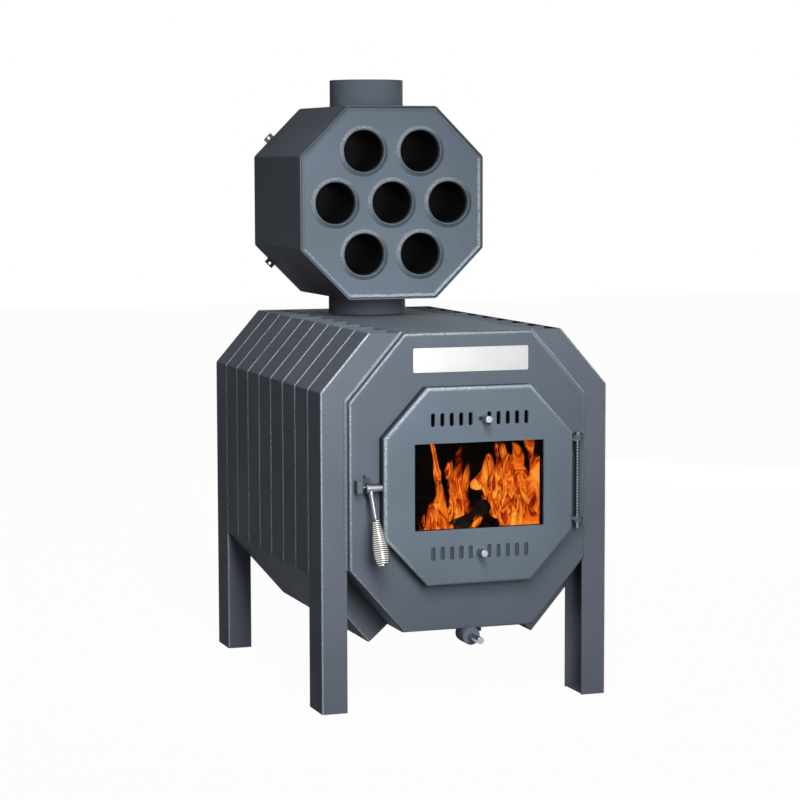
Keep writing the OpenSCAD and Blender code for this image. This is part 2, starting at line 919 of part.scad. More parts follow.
module latch_pivot() {
    flange_d = 14;
    color(bright) {
        rod_x(latch_y, latch_z, hub_end + play, latch_x, pivot_d);
        rod_x(latch_y, latch_z, hub_x + gap, latch_x, flange_d);
    }
}

// Direction from the latch's axis down the lever
lever_way = unit([
    sin(lever_lean),
    -sin(lever_out) * cos(lever_lean),
    -cos(lever_out) * cos(lever_lean)
]);
lever_in = 5.4;
lever_root = [hub_end + lever_in, latch_y, latch_z];
boss_l = 14;
boss_d = 11;

// Turns the z axis onto the lever's direction at its root
module along_lever() {
    translate(lever_root)
        rotate([0, 0, atan2(lever_way[1], lever_way[0])])
            rotate([0, acos(lever_way[2]), 0])
                children();
}

module latch_hub() {
    color(bright)
        difference() {
            union() {
                rod_x(latch_y, latch_z, hub_end, hub_x, hub_d);
                rod_x(latch_y, latch_z, hub_end - collar_l, hub_end, hub_collar_d);
                along_lever()
                    cylinder(h = boss_l, d = boss_d);
            }
            rod_x(latch_y, latch_z, hub_end, hub_x + over, pivot_d + 2 * run);
        }
}

// Finger on the hub's collar; it lies eccentric to the axis
module latch_catch() {
    finger_back = 1;
    finger_up = 2;
    color([0.22, 0.24, 0.26])
        rod_x(latch_y + finger_back, latch_z + finger_up, catch_end, hub_end - collar_l, finger_d);
}

module latch_lever() {
    color(bright)
        along_lever() {
            translate([0, 0, boss_l])
                cylinder(h = grip_start - boss_l, d = rod_d);
            translate([0, 0, grip_start])
                cylinder(h = grip_l - grip_wire / 2, d = core_d);
        }
}

// Mean radius of the grip: swells like a pear, then closes at its end
grip_end_r = core_d / 2 + gap + grip_wire;
swell = 0.74;
function grip_radius(s) =
    s < swell
    ? grip_end_r + (grip_r - grip_end_r) * pow(sin(90 * s / swell), 1.3)
    : grip_end_r + (grip_r - grip_end_r) * sqrt(1 - pow((s - swell) / (1 - swell), 2));

lever_side = unit(cross(lever_way, [1, 0, 0]));
lever_across = cross(lever_side, lever_way);
function grip_point(s, turn, r) =
    lever_root
    + (grip_start + grip_wire + s * (grip_l - 2 * grip_wire)) * lever_way
    + r * (cos(turn) * lever_side + sin(turn) * lever_across);

grip_steps = grip_turns * rings_per_turn;
grip_path = concat(
    [grip_point(0, 0, core_d / 2 + gap)],
    [for (i = [0 : grip_steps])
        grip_point(i / grip_steps, 360 * i / rings_per_turn, grip_radius(i / grip_steps))],
    [grip_point(1, 0, core_d / 2 + gap)]
);

module latch_grip() {
    color(bright)
        wire_tube(grip_path, lever_way, grip_wire / 2);
}

module air_valve_disc() {
    rod_end = air_pipe_l + valve_travel + stem_d;
    color(plate_steel) {
        rod_y(0, pipe_z, pipe_y - gap - valve_t, pipe_y - gap, air_pipe_d);
        rod_y(0, pipe_z, pipe_y - gap, rod_end, stem_d);
    }
}

module air_valve_knob() {
    color(bright)
        translate([0, pipe_y - gap - valve_t, pipe_z])
            rotate([90, 0, 0])
                knob_turning(valve_knob_l);
}

// Octagon of the exchanger with bent corners: centres is its outline moved in by r
module bent_octagon(centres, r) {
    count = len(centres);
    polygon([
        for (i = [0 : count - 1])
            let (
                a = centres[i],
                b = centres[(i + 1) % count],
                out = r * [b[1] - a[1], a[0] - b[0]] / norm(b - a)
            )
            each [a + out, b + out]
    ]);
    for (p = centres)
        translate(p)
            circle(r = r);
}

module exchanger_shell() {
    color(side_steel)
        difference() {
            slab(ex_y, ex_y + ex_l)
                bent_octagon(ex_octagon(-ex_bend_r), ex_bend_r);
            slab(ex_y - over, ex_y + ex_l + over)
                bent_octagon(ex_octagon(-ex_bend_r), ex_bend_r - ex_t);
            translate([0, flue_y, ex_z - ex_r - over])
                cylinder(h = 2 * ex_r + 2 * over, d = flue_d - 2 * flue_t, $fn = 128);
        }
}

// Tubes in a ring of six round one in the middle
tube_places = concat([[0, 0]], [for (i = [0 : 5]) tube_pitch * [cos(60 * i), sin(60 * i)]]);

module tube_plate(y) {
    color(plate_steel)
        slab(y, y + tube_plate_t)
            difference() {
                bent_octagon(ex_octagon(-ex_bend_r), ex_bend_r - ex_t - seat);
                for (place = tube_places)
                    translate([place[0], ex_z + place[1]])
                        circle(d = tube_d + 2 * seat, $fn = 96);
            }
}

front_plate_y = ex_y + tube_plate_inset;
rear_plate_y = ex_y + ex_l - tube_plate_inset - tube_plate_t;

module exchanger_tubes() {
    color([0.16, 0.17, 0.18])
        for (place = tube_places)
            difference() {
                rod_y(place[0], ex_z + place[1], front_plate_y - tube_proud,
                    rear_plate_y + tube_plate_t + tube_proud, tube_d, $fn = 96);
                rod_y(place[0], ex_z + place[1], front_plate_y - tube_proud - over,
                    rear_plate_y + tube_plate_t + tube_proud + over, tube_d - 2 * tube_t, $fn = 96);
            }
}

// Weld rings where the tubes leave their plates, and the bead inside the shell's rim
module exchanger_welds() {
    rim_weld_back = 1;
    color(plate_steel)
        for (rear = [false, true])
            translate([0, rear ? rear_plate_y + tube_plate_t : front_plate_y, ex_z])
                rotate([rear ? -90 : 90, 0, 0]) {
                    for (place = tube_places)
                        translate([place[0], rear ? -place[1] : place[1], 0])
                            rotate_extrude($fn = 96)
                                polygon([
                                    [tube_d / 2 + seat, 0],
                                    [tube_d / 2 + tube_weld, 0],
                                    [tube_d / 2 + seat, tube_weld]
                                ]);
                    linear_extrude(tube_plate_inset - rim_weld_back)
                        translate([0, -ex_z])
                            difference() {
                                bent_octagon(ex_octagon(-ex_bend_r), ex_bend_r - ex_t - seat);
                                polygon(ex_octagon(-ex_t - rim_weld));
                            }
                }
}

// Ears with an open hole, on each slanted side at the rear edge
module exchanger_ears() {
    out = (ex_r + ex_flat / 2) / sqrt(2);
    side = (ex_r - ex_flat / 2) * sqrt(2);
    shift = side / 2 - ear_rise;
    color(side_steel)
        for (left = [false, true], low = [0, 1])
            on_left(left)
                translate([0, ex_y + ex_l, ex_z])
                    mirror([0, 0, low])
                        rotate([90, -45, 0])
                            translate([out, -shift - ear_l / 2, 0])
                                difference() {
                                    cube([ear_out, ear_l, ear_plate_t]);
                                    translate([ear_out / 2, ear_l / 2, -over])
                                        cylinder(h = ear_plate_t + 2 * over, d = ear_hole_d);
                                }
}

// The outlet on top takes the flue pipe, the inlet hangs in the collar
module flue_stubs() {
    color(side_steel)
        for (part = [[ex_z + ex_r, flue_h], [ex_z - ex_r - flue_dip, flue_dip]])
            translate([0, flue_y, part[0]])
                difference() {
                    cylinder(h = part[1], d = flue_d, $fn = 128);
                    translate([0, 0, -over])
                        cylinder(h = part[1] + 2 * over, d = flue_d - 2 * flue_t, $fn = 128);
                }
}

// The model stands with the middle of its own box over the origin
grip_ys = [
    for (i = [0 : len(grip_path) - 1])
        for (p = ring(grip_path, i, lever_way, grip_wire / 2))
            p[1]
];
front_most = min(concat(grip_ys, [pipe_y - gap - valve_t - valve_knob_l]));
rear_most = rear_plate_y + tube_plate_t + tube_proud;
middle_y = (front_most + rear_most) / 2;

echo(hinge_spring_gap = wire_gap(spring_path, spring_wire));
echo(latch_grip_gap = wire_gap(grip_path, grip_wire));

translate([0, -middle_y, 0]) {
    leg_channel(false, true);  // leg_front_left
    leg_channel(false, false);  // leg_front_right
    leg_channel(true, true);  // leg_rear_left
    leg_channel(true, false);  // leg_rear_right
    foot_plates();
    for (i = duct_numbers) {
        duct_channel(i, true);
        duct_channel(i, false);
    }
    firebox_drum();
    drum_rear_plate();
    front_plate();
    seam_welds();
    flue_collar();
    fire_bricks();
    baffle_plate();
    baffle_rails();
    name_plate();
    primary_air_pipe();
    latch_keeper();
    plate_hinge_ears();
    hinge_pin();
    hinge_spring();
    door_shell();
    door_hinge_ears();
    door_liner();
    door_rope_seal();
    door_glass();
    glass_gasket();
    glass_clips();
    glass_screws();
    slide_guides();
    latch_pivot();
    latch_hub();
    latch_catch();
    latch_lever();
    latch_grip();
    air_slide(1, slide_travel);  // upper_slide
    slide_knob(1, slide_travel);  // upper_slide_knob
    air_slide(-1, 0);  // lower_slide
    slide_knob(-1, 0);  // lower_slide_knob
    air_valve_disc();
    air_valve_knob();
    exchanger_shell();
    tube_plate(front_plate_y);  // exchanger_front_plate
    tube_plate(rear_plate_y);  // exchanger_rear_plate
    exchanger_tubes();
    exchanger_welds();
    exchanger_ears();
    flue_stubs();
}
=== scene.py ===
"""Looks for the workshop stove: painted sheet, weld beads, wound wire and the fire behind the pane."""

import json
from math import cos, pi, radians, sin, tan

import bmesh
import bpy
import numpy as np
from bpy.props import FloatProperty, FloatVectorProperty, IntProperty, PointerProperty
from mathutils import Euler, Matrix, Vector


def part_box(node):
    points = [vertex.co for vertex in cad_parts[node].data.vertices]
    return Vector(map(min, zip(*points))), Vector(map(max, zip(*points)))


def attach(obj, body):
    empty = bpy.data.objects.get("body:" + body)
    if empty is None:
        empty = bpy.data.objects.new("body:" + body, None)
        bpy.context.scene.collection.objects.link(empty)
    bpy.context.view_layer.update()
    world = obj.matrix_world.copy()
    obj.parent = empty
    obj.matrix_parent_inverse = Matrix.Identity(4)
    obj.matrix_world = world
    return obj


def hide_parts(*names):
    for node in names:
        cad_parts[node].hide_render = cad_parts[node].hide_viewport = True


bl_info = {
    "name": "Workshop Stove",
    "version": (1, 0, 0),
    "blender": (4, 5, 0),
    "location": "View3D > Sidebar > Stove",
    "description": "Dresses a workshop stove with painted sheet, weld beads, wound wire and a fire",
    "category": "Object",
}

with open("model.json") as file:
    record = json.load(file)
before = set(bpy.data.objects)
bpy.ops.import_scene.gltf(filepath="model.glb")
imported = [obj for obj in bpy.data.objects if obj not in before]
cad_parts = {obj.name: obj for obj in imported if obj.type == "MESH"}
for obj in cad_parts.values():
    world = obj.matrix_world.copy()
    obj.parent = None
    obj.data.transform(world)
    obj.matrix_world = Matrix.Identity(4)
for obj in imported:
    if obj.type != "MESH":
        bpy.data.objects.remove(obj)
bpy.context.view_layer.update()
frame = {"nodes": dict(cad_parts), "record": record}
RECORD = frame["record"]
BODY_OF = {node: body for body, nodes in RECORD["behaviour"]["bodies"].items() for node in nodes}
SLOT_OF = {part["node"]: part["material_slot"] for part in RECORD["subparts"]}
MM = 0.001

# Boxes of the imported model, and places worked out from them
DRUM_LOW, DRUM_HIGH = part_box("firebox_drum")
PLATE_LOW, PLATE_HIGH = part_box("front_plate")
DOOR_LOW, DOOR_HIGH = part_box("door_shell")
SHELL_LOW, SHELL_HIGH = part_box("exchanger_shell")
TUBE_LOW, TUBE_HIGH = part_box("exchanger_tubes")
LEG_LOW, LEG_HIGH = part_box("leg_front_right")
CHANNEL_Y = LEG_LOW.y
CHANNEL_PITCH = LEG_HIGH.y - LEG_LOW.y
CHANNEL_DEPTH = LEG_HIGH.x - DRUM_HIGH.x
DOOR_X = (DOOR_LOW.x + DOOR_HIGH.x) / 2
DOOR_Z = (DOOR_LOW.z + DOOR_HIGH.z) / 2
SHELL_Z = (SHELL_LOW.z + SHELL_HIGH.z) / 2

# Half widths of the octagons' flats and the angles of their slants, which the boxes don't give
DRUM_FLAT_LOW, DRUM_FLAT_TOP, DRUM_SLANT = 128 * MM, 125.5 * MM, radians(49)
DOOR_FLAT, DOOR_SLANT = 102 * MM, radians(47.3)
SHELL_FLAT, SHELL_SLANT = 92.3 * MM, radians(45)
DRUM_SHEET, SHELL_SHEET = 4 * MM, 3 * MM

# The door's air slots, their two rows and the slots of the slides' knobs
SLOT_WIDTH, SLOT_HEIGHT, SLOT_PITCH, SLOT_RISE = 8 * MM, 25 * MM, 18.35 * MM, 123.5 * MM
SLOTS_A_SIDE = 5
KNOB_SLOT_WIDTH, KNOB_SLOT_HEIGHT, KNOB_SLOT_OFFSET = 15.5 * MM, 7 * MM, 4.25 * MM

# The exchanger's tubes
TUBE_RING, TUBE_RADIUS, TUBE_BORE = 118.6 * MM, 44.5 * MM, 41 * MM


class StoveSizes(bpy.types.PropertyGroup):
    """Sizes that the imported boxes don't give, in metres"""

    channel_sheet: FloatProperty(
        name="Channel sheet", description="Sheet thickness of the channels", default=3 * MM, unit="LENGTH")
    channel_bend: FloatProperty(
        name="Channel bend", description="Outer radius of the channels' folds", default=5 * MM, unit="LENGTH")
    plate_bend: FloatProperty(
        name="Plate bend", description="Radius of the front plate's fold", default=5 * MM, unit="LENGTH")
    door_bend: FloatProperty(
        name="Door bend", description="Radius of the door's fold", default=7 * MM, unit="LENGTH")
    sheet: FloatProperty(
        name="Front sheet", description="Sheet thickness of plate and door", default=4 * MM, unit="LENGTH")
    window_width: FloatProperty(
        name="Window width", description="Width of the door's window", default=254 * MM, unit="LENGTH")
    window_height: FloatProperty(
        name="Window height", description="Height of the door's window", default=160 * MM, unit="LENGTH")
    weld_ripple: FloatProperty(
        name="Weld ripple", description="Height of a weld bead's ripples", default=0.7 * MM, unit="LENGTH")
    weld_pitch: FloatProperty(
        name="Weld pitch", description="Distance between a bead's ripples", default=3.4 * MM, unit="LENGTH")
    bend_steps: IntProperty(
        name="Bend steps", description="Strips round a folded edge", default=8, min=3, max=16)


class StoveColours(bpy.types.PropertyGroup):
    """Base colours of the finishes"""

    front_paint: FloatVectorProperty(
        name="Front paint", description="Paint of the door and of the tube plates", subtype="COLOR",
        size=3, default=(0.135, 0.165, 0.200))
    # The front plate's paint is a darker copy of the door's: painted shade on the plate
    plate_paint_in_shade: FloatVectorProperty(
        name="Plate paint", description="Paint of the front plate, a little darker than the door's",
        subtype="COLOR", size=3, default=(0.112, 0.130, 0.158))
    # The body's paint is a darker copy of the front's: painted shade on channels, drum and shell
    body_paint: FloatVectorProperty(
        name="Body paint", description="Paint of channels, drum and exchanger shell", subtype="COLOR",
        size=3, default=(0.125, 0.140, 0.170))
    # Pale tone of wear and of painted highlights on bead crests and folded edges
    wear_and_highlight_paint: FloatVectorProperty(
        name="Worn paint", description="Pale tone of bead crests and rubbed edges", subtype="COLOR",
        size=3, default=(0.72, 0.78, 0.80))
    zinc: FloatVectorProperty(
        name="Zinc", description="Bright zinc plating", subtype="COLOR", size=3, default=(0.40, 0.43, 0.46))
    nickel: FloatVectorProperty(
        name="Nickel", description="Plated wire of the grip", subtype="COLOR",
        size=3, default=(0.80, 0.78, 0.71))
    flame: FloatVectorProperty(
        name="Flame", description="Middle tone of the fire", subtype="COLOR",
        size=3, default=(0.95, 0.20, 0.012))


# Outlines. The octagons' functions take grow, a distance by which the outline is moved out.

def octagon(half, z_low, z_top, flat_low, flat_top, angle, grow):
    """Corners (x, z) of an octagon with vertical sides at x = +-half, from the right of its underside.

    A slanted side leaves the flat's end at the given angle, and a corner moves along its own
    bisector: by grow * tan(angle / 2) beside a flat and grow * tan(45 - angle / 2) beside a side.
    """
    near = grow * tan(angle / 2)
    far = grow * tan(pi / 4 - angle / 2)
    right = np.array([
        [flat_low + near, z_low - grow],
        [half + grow, z_low + (half - flat_low) * tan(angle) - far],
        [half + grow, z_top - (half - flat_top) * tan(angle) + far],
        [flat_top + near, z_top + grow],
    ])
    return np.vstack([right, right[::-1] * (-1, 1)])


def drum_outline(grow):
    """The drum's outer octagon."""
    return octagon(DRUM_HIGH.x, DRUM_LOW.z, DRUM_HIGH.z, DRUM_FLAT_LOW, DRUM_FLAT_TOP, DRUM_SLANT, grow)


def door_outline(grow):
    """The door's outer octagon."""
    half = (DOOR_HIGH.x - DOOR_LOW.x) / 2
    return octagon(half, DOOR_LOW.z, DOOR_HIGH.z, DOOR_FLAT, DOOR_FLAT, DOOR_SLANT, grow) + (DOOR_X, 0)


def shell_outline(grow):
    """The exchanger's outer octagon."""
    return octagon(SHELL_HIGH.x, SHELL_LOW.z, SHELL_HIGH.z, SHELL_FLAT, SHELL_FLAT, SHELL_SLANT, grow)


def softened(line, cut, closed):
    """Replaces each bend of a line by a start, a middle and an end point, cut away from the bend.

    The middle point lies halfway between the bend and the chord of the other two.
    """
    line = np.asarray(line, float)
    ahead = np.roll(line, -1, axis=0) - line
    behind = np.roll(line, 1, axis=0) - line
    ahead /= np.linalg.norm(ahead, axis=1, keepdims=True)
    behind /= np.linalg.norm(behind, axis=1, keepdims=True)
    start, end = line + cut * behind, line + cut * ahead
    middle = line / 2 + (start + end) / 4
    points = np.stack([start, middle, end], axis=1)
    if closed:
        return points.reshape(-1, 2)
    return np.vstack([line[:1], points[1:-1].reshape(-1, 2), line[-1:]])


def channel_line(depth, leg):
    """A channel's line (x, z) on the right at a depth from the drum; a leg's runs down to the floor."""
    inner, away = drum_outline(0), drum_outline(depth)
    kink = 2 * MM
    top = inner[3] + (depth / sin(DRUM_SLANT), 0)
    if leg:
        return softened([(DRUM_HIGH.x + depth, 0), away[2], top], kink, False)
    foot = inner[0] + depth * np.array([sin(DRUM_SLANT), -cos(DRUM_SLANT)])
    return softened([foot, away[1], away[2], top], kink, False)


# Meshes

def mesh_object(name, points, faces, crease, merge=True, marks=None):
    """Puts points and faces into a new object, welds doubles, turns faces outwards and shades it.

    marks holds one value for each point of each named attribute.
    """
    mesh = bpy.data.meshes.new(name)
    places = np.asarray(points, float).reshape(-1, 3).tolist()
    mesh.from_pydata(places, [], [list(map(int, face)) for face in faces])
    for mark, values in (marks or {}).items():
        layer = mesh.attributes.new(mark, "FLOAT", "POINT")
        layer.data.foreach_set("value", np.asarray(values, np.float32).reshape(-1))
    piece = bpy.data.objects.new(name, mesh)
    bpy.context.scene.collection.objects.link(piece)
    if merge:
        tidy(mesh)
    shade(mesh, crease)
    return piece


def tidy(mesh):
    """Welds doubles and points the faces of a closed surface outwards."""
    distance = 0.001 * MM
    work = bmesh.new()
    work.from_mesh(mesh)
    bmesh.ops.remove_doubles(work, verts=work.verts, dist=distance)
    bmesh.ops.dissolve_degenerate(work, edges=work.edges, dist=distance)
    bmesh.ops.recalc_face_normals(work, faces=work.faces)
    work.to_mesh(mesh)
    work.free()


def shade(mesh, crease):
    """Smooth shading with sharp edges where faces meet at more than crease degrees."""
    mesh.shade_smooth()
    mesh.set_sharp_from_angle(angle=radians(crease))


def grid_faces(rows, columns, wrap_rows, first=0):
    """Quads of a grid of points, numbered row by row from first, whose columns run round."""
    index = first + np.arange(rows * columns).reshape(rows, columns)
    if wrap_rows:
        index = np.vstack([index, index[:1]])
    index = np.hstack([index, index[:, :1]])
    return np.stack([index[:-1, :-1], index[1:, :-1], index[1:, 1:], index[:-1, 1:]], axis=-1).reshape(-1, 4)


def surface(name, grid, wrap_rows=False, caps=False, crease=35, marks=None):
    """A surface over a grid of points (rows, columns, 3), whose first and last rows caps can close."""
    grid = np.asarray(grid, float)
    rows, columns = grid.shape[:2]
    faces = grid_faces(rows, columns, wrap_rows).tolist()
    if caps:
        last = (rows - 1) * columns
        faces += [list(range(columns))[::-1], list(range(last, last + columns))]
    return mesh_object(name, grid, faces, crease, marks=marks)


def weighted(piece):
    """Large faces keep their own normals beside a rounded edge."""
    modifier = piece.modifiers.new("Weighted normals", "WEIGHTED_NORMAL")
    modifier.keep_sharp = True


def bevelled(piece, width, angle=40):
    """Breaks the sharp edges of a piece by a small rounding."""
    modifier = piece.modifiers.new("Broken edges", "BEVEL")
    modifier.width = width
    modifier.segments = 2
    modifier.limit_method = "ANGLE"
    modifier.angle_limit = radians(angle)
    modifier.harden_normals = True


def finish(slot):
    """The finish of a material slot, made when it is first asked for."""
    name = slot + "_finish"
    if name not in bpy.data.materials:
        FINISHES[slot](name, bpy.context.scene.stove_colours)
    return bpy.data.materials[name]


def stands_for(piece, node, look=None):
    """The piece takes a node's place and body, and the finish of the node's slot or of the look named."""
    piece.data.materials.clear()
    piece.data.materials.append(finish(look or SLOT_OF[node]))
    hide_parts(node)
    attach(piece, BODY_OF[node])


def dressed(node, edge, look=None):
    """A copy of a node's mesh with its triangles joined to faces and its edges broken by edge."""
    double, flat, crease = 0.002 * MM, radians(0.4), 32
    mesh = frame["nodes"][node].data.copy()
    work = bmesh.new()
    work.from_mesh(mesh)
    bmesh.ops.remove_doubles(work, verts=work.verts, dist=double)
    bmesh.ops.dissolve_limit(work, angle_limit=flat, verts=work.verts, edges=work.edges)
    work.to_mesh(mesh)
    work.free()
    for name in ("custom_normal", "sharp_edge", "sharp_face"):
        if name in mesh.attributes:
            mesh.attributes.remove(mesh.attributes[name])
    shade(mesh, crease)
    piece = bpy.data.objects.new(node + "_finish", mesh)
    bpy.context.scene.collection.objects.link(piece)
    bevelled(piece, edge)
    stands_for(piece, node, look)


def painted(node, slot=None):
    """Gives a node's own object the finish of its slot, or of another one."""
    mesh = frame["nodes"][node].data
    mesh.materials.clear()
    mesh.materials.append(finish(slot or SLOT_OF[node]))
    mesh.polygons.foreach_set("material_index", np.zeros(len(mesh.polygons), int))


def quarter(radius, steps):
    """Insets r (1 - sin t) and setbacks r (1 - cos t) of a folded edge, for t from 0 to 90 degrees."""
    turn = np.linspace(0, pi / 2, steps + 1)
    return radius * (1 - np.sin(turn)), radius * (1 - np.cos(turn))


def stacked(outline, rows):
    """Rows of (grow, y): each row is the outline moved out by grow, at that y."""
    grid = []
    for grow, y in rows:
        corners = outline(grow)
        grid.append(np.column_stack([corners[:, 0], np.full(len(corners), y), corners[:, 1]]))
    return np.array(grid)


def bend_wear_highlight_and_shade(grid, steps, centre, most):
    """Pale marks on a folded front's bend, partly wear and partly painted highlight, and painted shade behind
    it.

    With x and z from -1 to 1 across the front, the pale share is most times 0.5 - 0.45 x + 0.45 z, held
    between 0 and 1, times sin^2 over the bend. It is strongest at the upper left, where the painted highlight
    lies.
    """
    place = grid[..., (0, 2)] - centre
    place = place / np.abs(place).max(axis=(0, 1))
    weight = np.clip(0.5 - 0.45 * place[..., 0] + 0.45 * place[..., 1], 0, 1)
    bend = np.zeros(len(grid))
    bend[1:steps + 2] = np.sin(np.linspace(0.25, pi, steps + 1)) ** 2
    # Painted shade on the side wall behind the bend, darkest towards its back
    painted_shade_behind = np.zeros(len(grid))
    painted_shade_behind[steps + 1:steps + 3] = (0.35, 0.95)
    return most * weight * bend[:, None] - painted_shade_behind[:, None]


def turned(name, profile, x, z, wear_highlight_and_shade):
    """A ring round an axis along Y at x and z: the profile (radius, y) and its painted highlight and shade
    are carried round it.
    """
    sides = 96
    profile = np.asarray(profile, float)
    turn = np.linspace(0, 2 * pi, sides, endpoint=False)
    radius = profile[:, :1]
    y = np.repeat(profile[:, 1:], sides, axis=1)
    grid = np.stack([x + radius * np.cos(turn), y, z + radius * np.sin(turn)], axis=-1)
    carried_marks = np.repeat(np.asarray(wear_highlight_and_shade, float)[:, None], sides, axis=1)
    return surface(name, grid, wrap_rows=True, marks={"wear_highlight_and_shade": carried_marks})


# Weld beads

def bead_grid(path, inward, height, width, lift, sizes, sections=9):
    """A weld bead laid along a path, as a grid of points, and how pale or dark each point is, from wear and
    painted light.

    path holds points (n, 3), inward the unit direction across the bead at each of them and height the
    unit direction off the sheet. Across the bead s runs from 0 to 1. A point lies width s w across and
    lift ((1 - s) w + 0.3 b) + r b (c - 0.45 + 0.18 g) over the sheet, where b is sin(pi s)^0.6, w is 1
    with two slow waves, r is the ripples' height, c is the crest (0.5 + 0.5 cos 2 pi p)^1.5 and g is a
    grain of two quick waves. The phase p is the run over the ripples' pitch plus 3.2 s (1 - s), which
    bends them to crescents, plus two slow waves. Crests are pale, partly from wear and partly as a
    painted highlight, and the foot (s < 0.13) is dark with painted shade and grime.
    """
    step = np.linalg.norm(np.diff(path, axis=0), axis=1)
    run = np.concatenate([[0], np.cumsum(step)])[:, None]
    s = np.linspace(0, 1, sections)[None, :]
    slow, less_slow, swell_slow, swell_quick = 31 * MM, 11.7 * MM, 19.3 * MM, 7.1 * MM
    lag = 3.2 * s * (1 - s)
    phase = run / sizes.weld_pitch + lag + 0.35 * np.sin(run / slow) + 0.2 * np.sin(run / less_slow)
    crest = (0.5 + 0.5 * np.cos(2 * pi * phase)) ** 1.5
    body = np.sin(pi * s) ** 0.6
    grain = np.sin(run * 2900 + 9 * s) * np.sin(run * 1700 - 7 * s)
    swell = 1 + 0.07 * np.sin(run / swell_slow) + 0.05 * np.sin(run / swell_quick + 1.3)
    ripple = sizes.weld_ripple * body * (crest - 0.45 + 0.18 * grain)
    over = lift * (1 - s) * swell + 0.30 * lift * body + ripple
    across = width * s * swell
    grid = path[:, None, :] + inward[:, None, :] * across[..., None] + height[:, None, :] * over[..., None]
    # Pale crests are wear and painted highlight; the dark foot is painted shade and grime
    pale = 0.8 * np.clip(body * (0.15 + 0.85 * crest + 0.25 * grain), 0, 1)
    return grid, np.where(s < 0.13, -0.9, pale)


def along(points, spacing):
    """Points at an even spacing along a line of corners, with the unit direction of each stretch."""
    out, ways = [], []
    for a, b in zip(points[:-1], points[1:]):
        count = max(2, int(np.linalg.norm(b - a) / spacing))
        share = np.linspace(0, 1, count, endpoint=False)[:, None]
        out.append(a + (b - a) * share)
        ways.append(np.repeat(((b - a) / np.linalg.norm(b - a))[None], count, axis=0))
    out.append(points[-1:])
    ways.append(ways[-1][-1:])
    return np.vstack(out), np.vstack(ways)


def closed_bead(name, grid, wear_highlight_and_shade, ring):
    """Closes a bead's underside, so that it is a solid: the last column is joined to the first."""
    return surface(name, grid, wrap_rows=ring, caps=not ring, crease=70, marks={"wear_highlight_and_shade": wear_highlight_and_shade})


def joined(name, pieces, crease):
    """Joins several pieces into one mesh and shades it."""
    work = bmesh.new()
    for piece in pieces:
        work.from_mesh(piece.data)
        data = piece.data
        bpy.data.objects.remove(piece)
        bpy.data.meshes.remove(data)
    mesh = bpy.data.meshes.new(name)
    work.to_mesh(mesh)
    work.free()
    shade(mesh, crease)
    whole = bpy.data.objects.new(name, mesh)
    bpy.context.scene.collection.objects.link(whole)
    return whole


# Wound wire

def wire_surface(name, path, axis, radius, core, sides=14):
    """A wire of round section: rings stand square to the path, and their first points lie towards axis.

    core holds the points that the turns go round. The attribute "outer" is the cosine between a
    point's own direction from the wire's middle and the way out from the core.
    """
    way = np.gradient(path, axis=0)
    way /= np.linalg.norm(way, axis=1, keepdims=True)
    side = np.asarray(axis) - (way @ np.asarray(axis))[:, None] * way
    side /= np.linalg.norm(side, axis=1, keepdims=True)
    other = np.cross(way, side)
    turn = np.linspace(0, 2 * pi, sides, endpoint=False)[None, :, None]
    spread = np.cos(turn) * side[:, None, :] + np.sin(turn) * other[:, None, :]
    out = path - core
    out /= np.linalg.norm(out, axis=1, keepdims=True)
    outer = np.einsum("rsc,rc->rs", spread, out)
    return surface(name, path[:, None, :] + radius * spread, caps=True, crease=60, marks={"outer": outer})


# Materials

def new_material(name):
    """An empty node material and its node tree."""
    material = bpy.data.materials.new(name)
    material.use_nodes = True
    return material, material.node_tree


def put(tree, socket, value):
    """Links an output to a socket, or gives the socket a value of its own."""
    if isinstance(value, bpy.types.NodeSocket):
        tree.links.new(value, socket)
    else:
        socket.default_value = value


def add_node(tree, kind, *values, **named):
    """A node: values go to its inputs in order, and named ones to the input or property of that name."""
    node = tree.nodes.new(kind)
    for name, value in named.items():
        if name in node.inputs:
            put(tree, node.inputs[name], value)
        else:
            setattr(node, name, value)
    for socket, value in zip(node.inputs, values):
        put(tree, socket, value)
    return node


def to_shader(tree, values):
    """Sets or links inputs of the Principled shader by name."""
    inputs = tree.nodes["Principled BSDF"].inputs
    for name, value in values.items():
        put(tree, inputs[name], value)


def maths(tree, operation, *values):
    """The result of a Math node."""
    return add_node(tree, "ShaderNodeMath", *values, operation=operation).outputs[0]


def blend(tree, share, first, second):
    """The colour that lies by a share between the first and the second."""
    mix = add_node(tree, "ShaderNodeMix", share, data_type="RGBA")
    put(tree, mix.inputs[6], first)
    put(tree, mix.inputs[7], second)
    return mix.outputs[2]


def object_place(tree):
    """Object coordinates."""
    return tree.nodes.new("ShaderNodeTexCoord").outputs["Object"]


def object_parts(tree):
    """Object coordinates as the outputs X, Y and Z."""
    return add_node(tree, "ShaderNodeSeparateXYZ", object_place(tree)).outputs


def attribute(tree, name):
    """The number that an attribute holds."""
    return add_node(tree, "ShaderNodeAttribute", attribute_name=name).outputs["Fac"]


def noise(tree, place, scale, detail, output="Fac"):
    """Noise at a place, as a number or as a colour."""
    return add_node(tree, "ShaderNodeTexNoise", place, Scale=scale, Detail=detail).outputs[output]


def object_noise(tree, scale, detail, stretch=(1, 1, 1)):
    """Noise on Object coordinates, stretched along the axes."""
    place = add_node(tree, "ShaderNodeMapping", object_place(tree), Scale=stretch)
    return noise(tree, place.outputs["Vector"], scale, detail)


def ranged(tree, source, low, high, start=0.3, end=0.7):
    """Maps start to end of a source onto low to high; 0.3 to 0.7 is a noise's usual range."""
    return add_node(tree, "ShaderNodeMapRange", source, start, end, low, high).outputs["Result"]


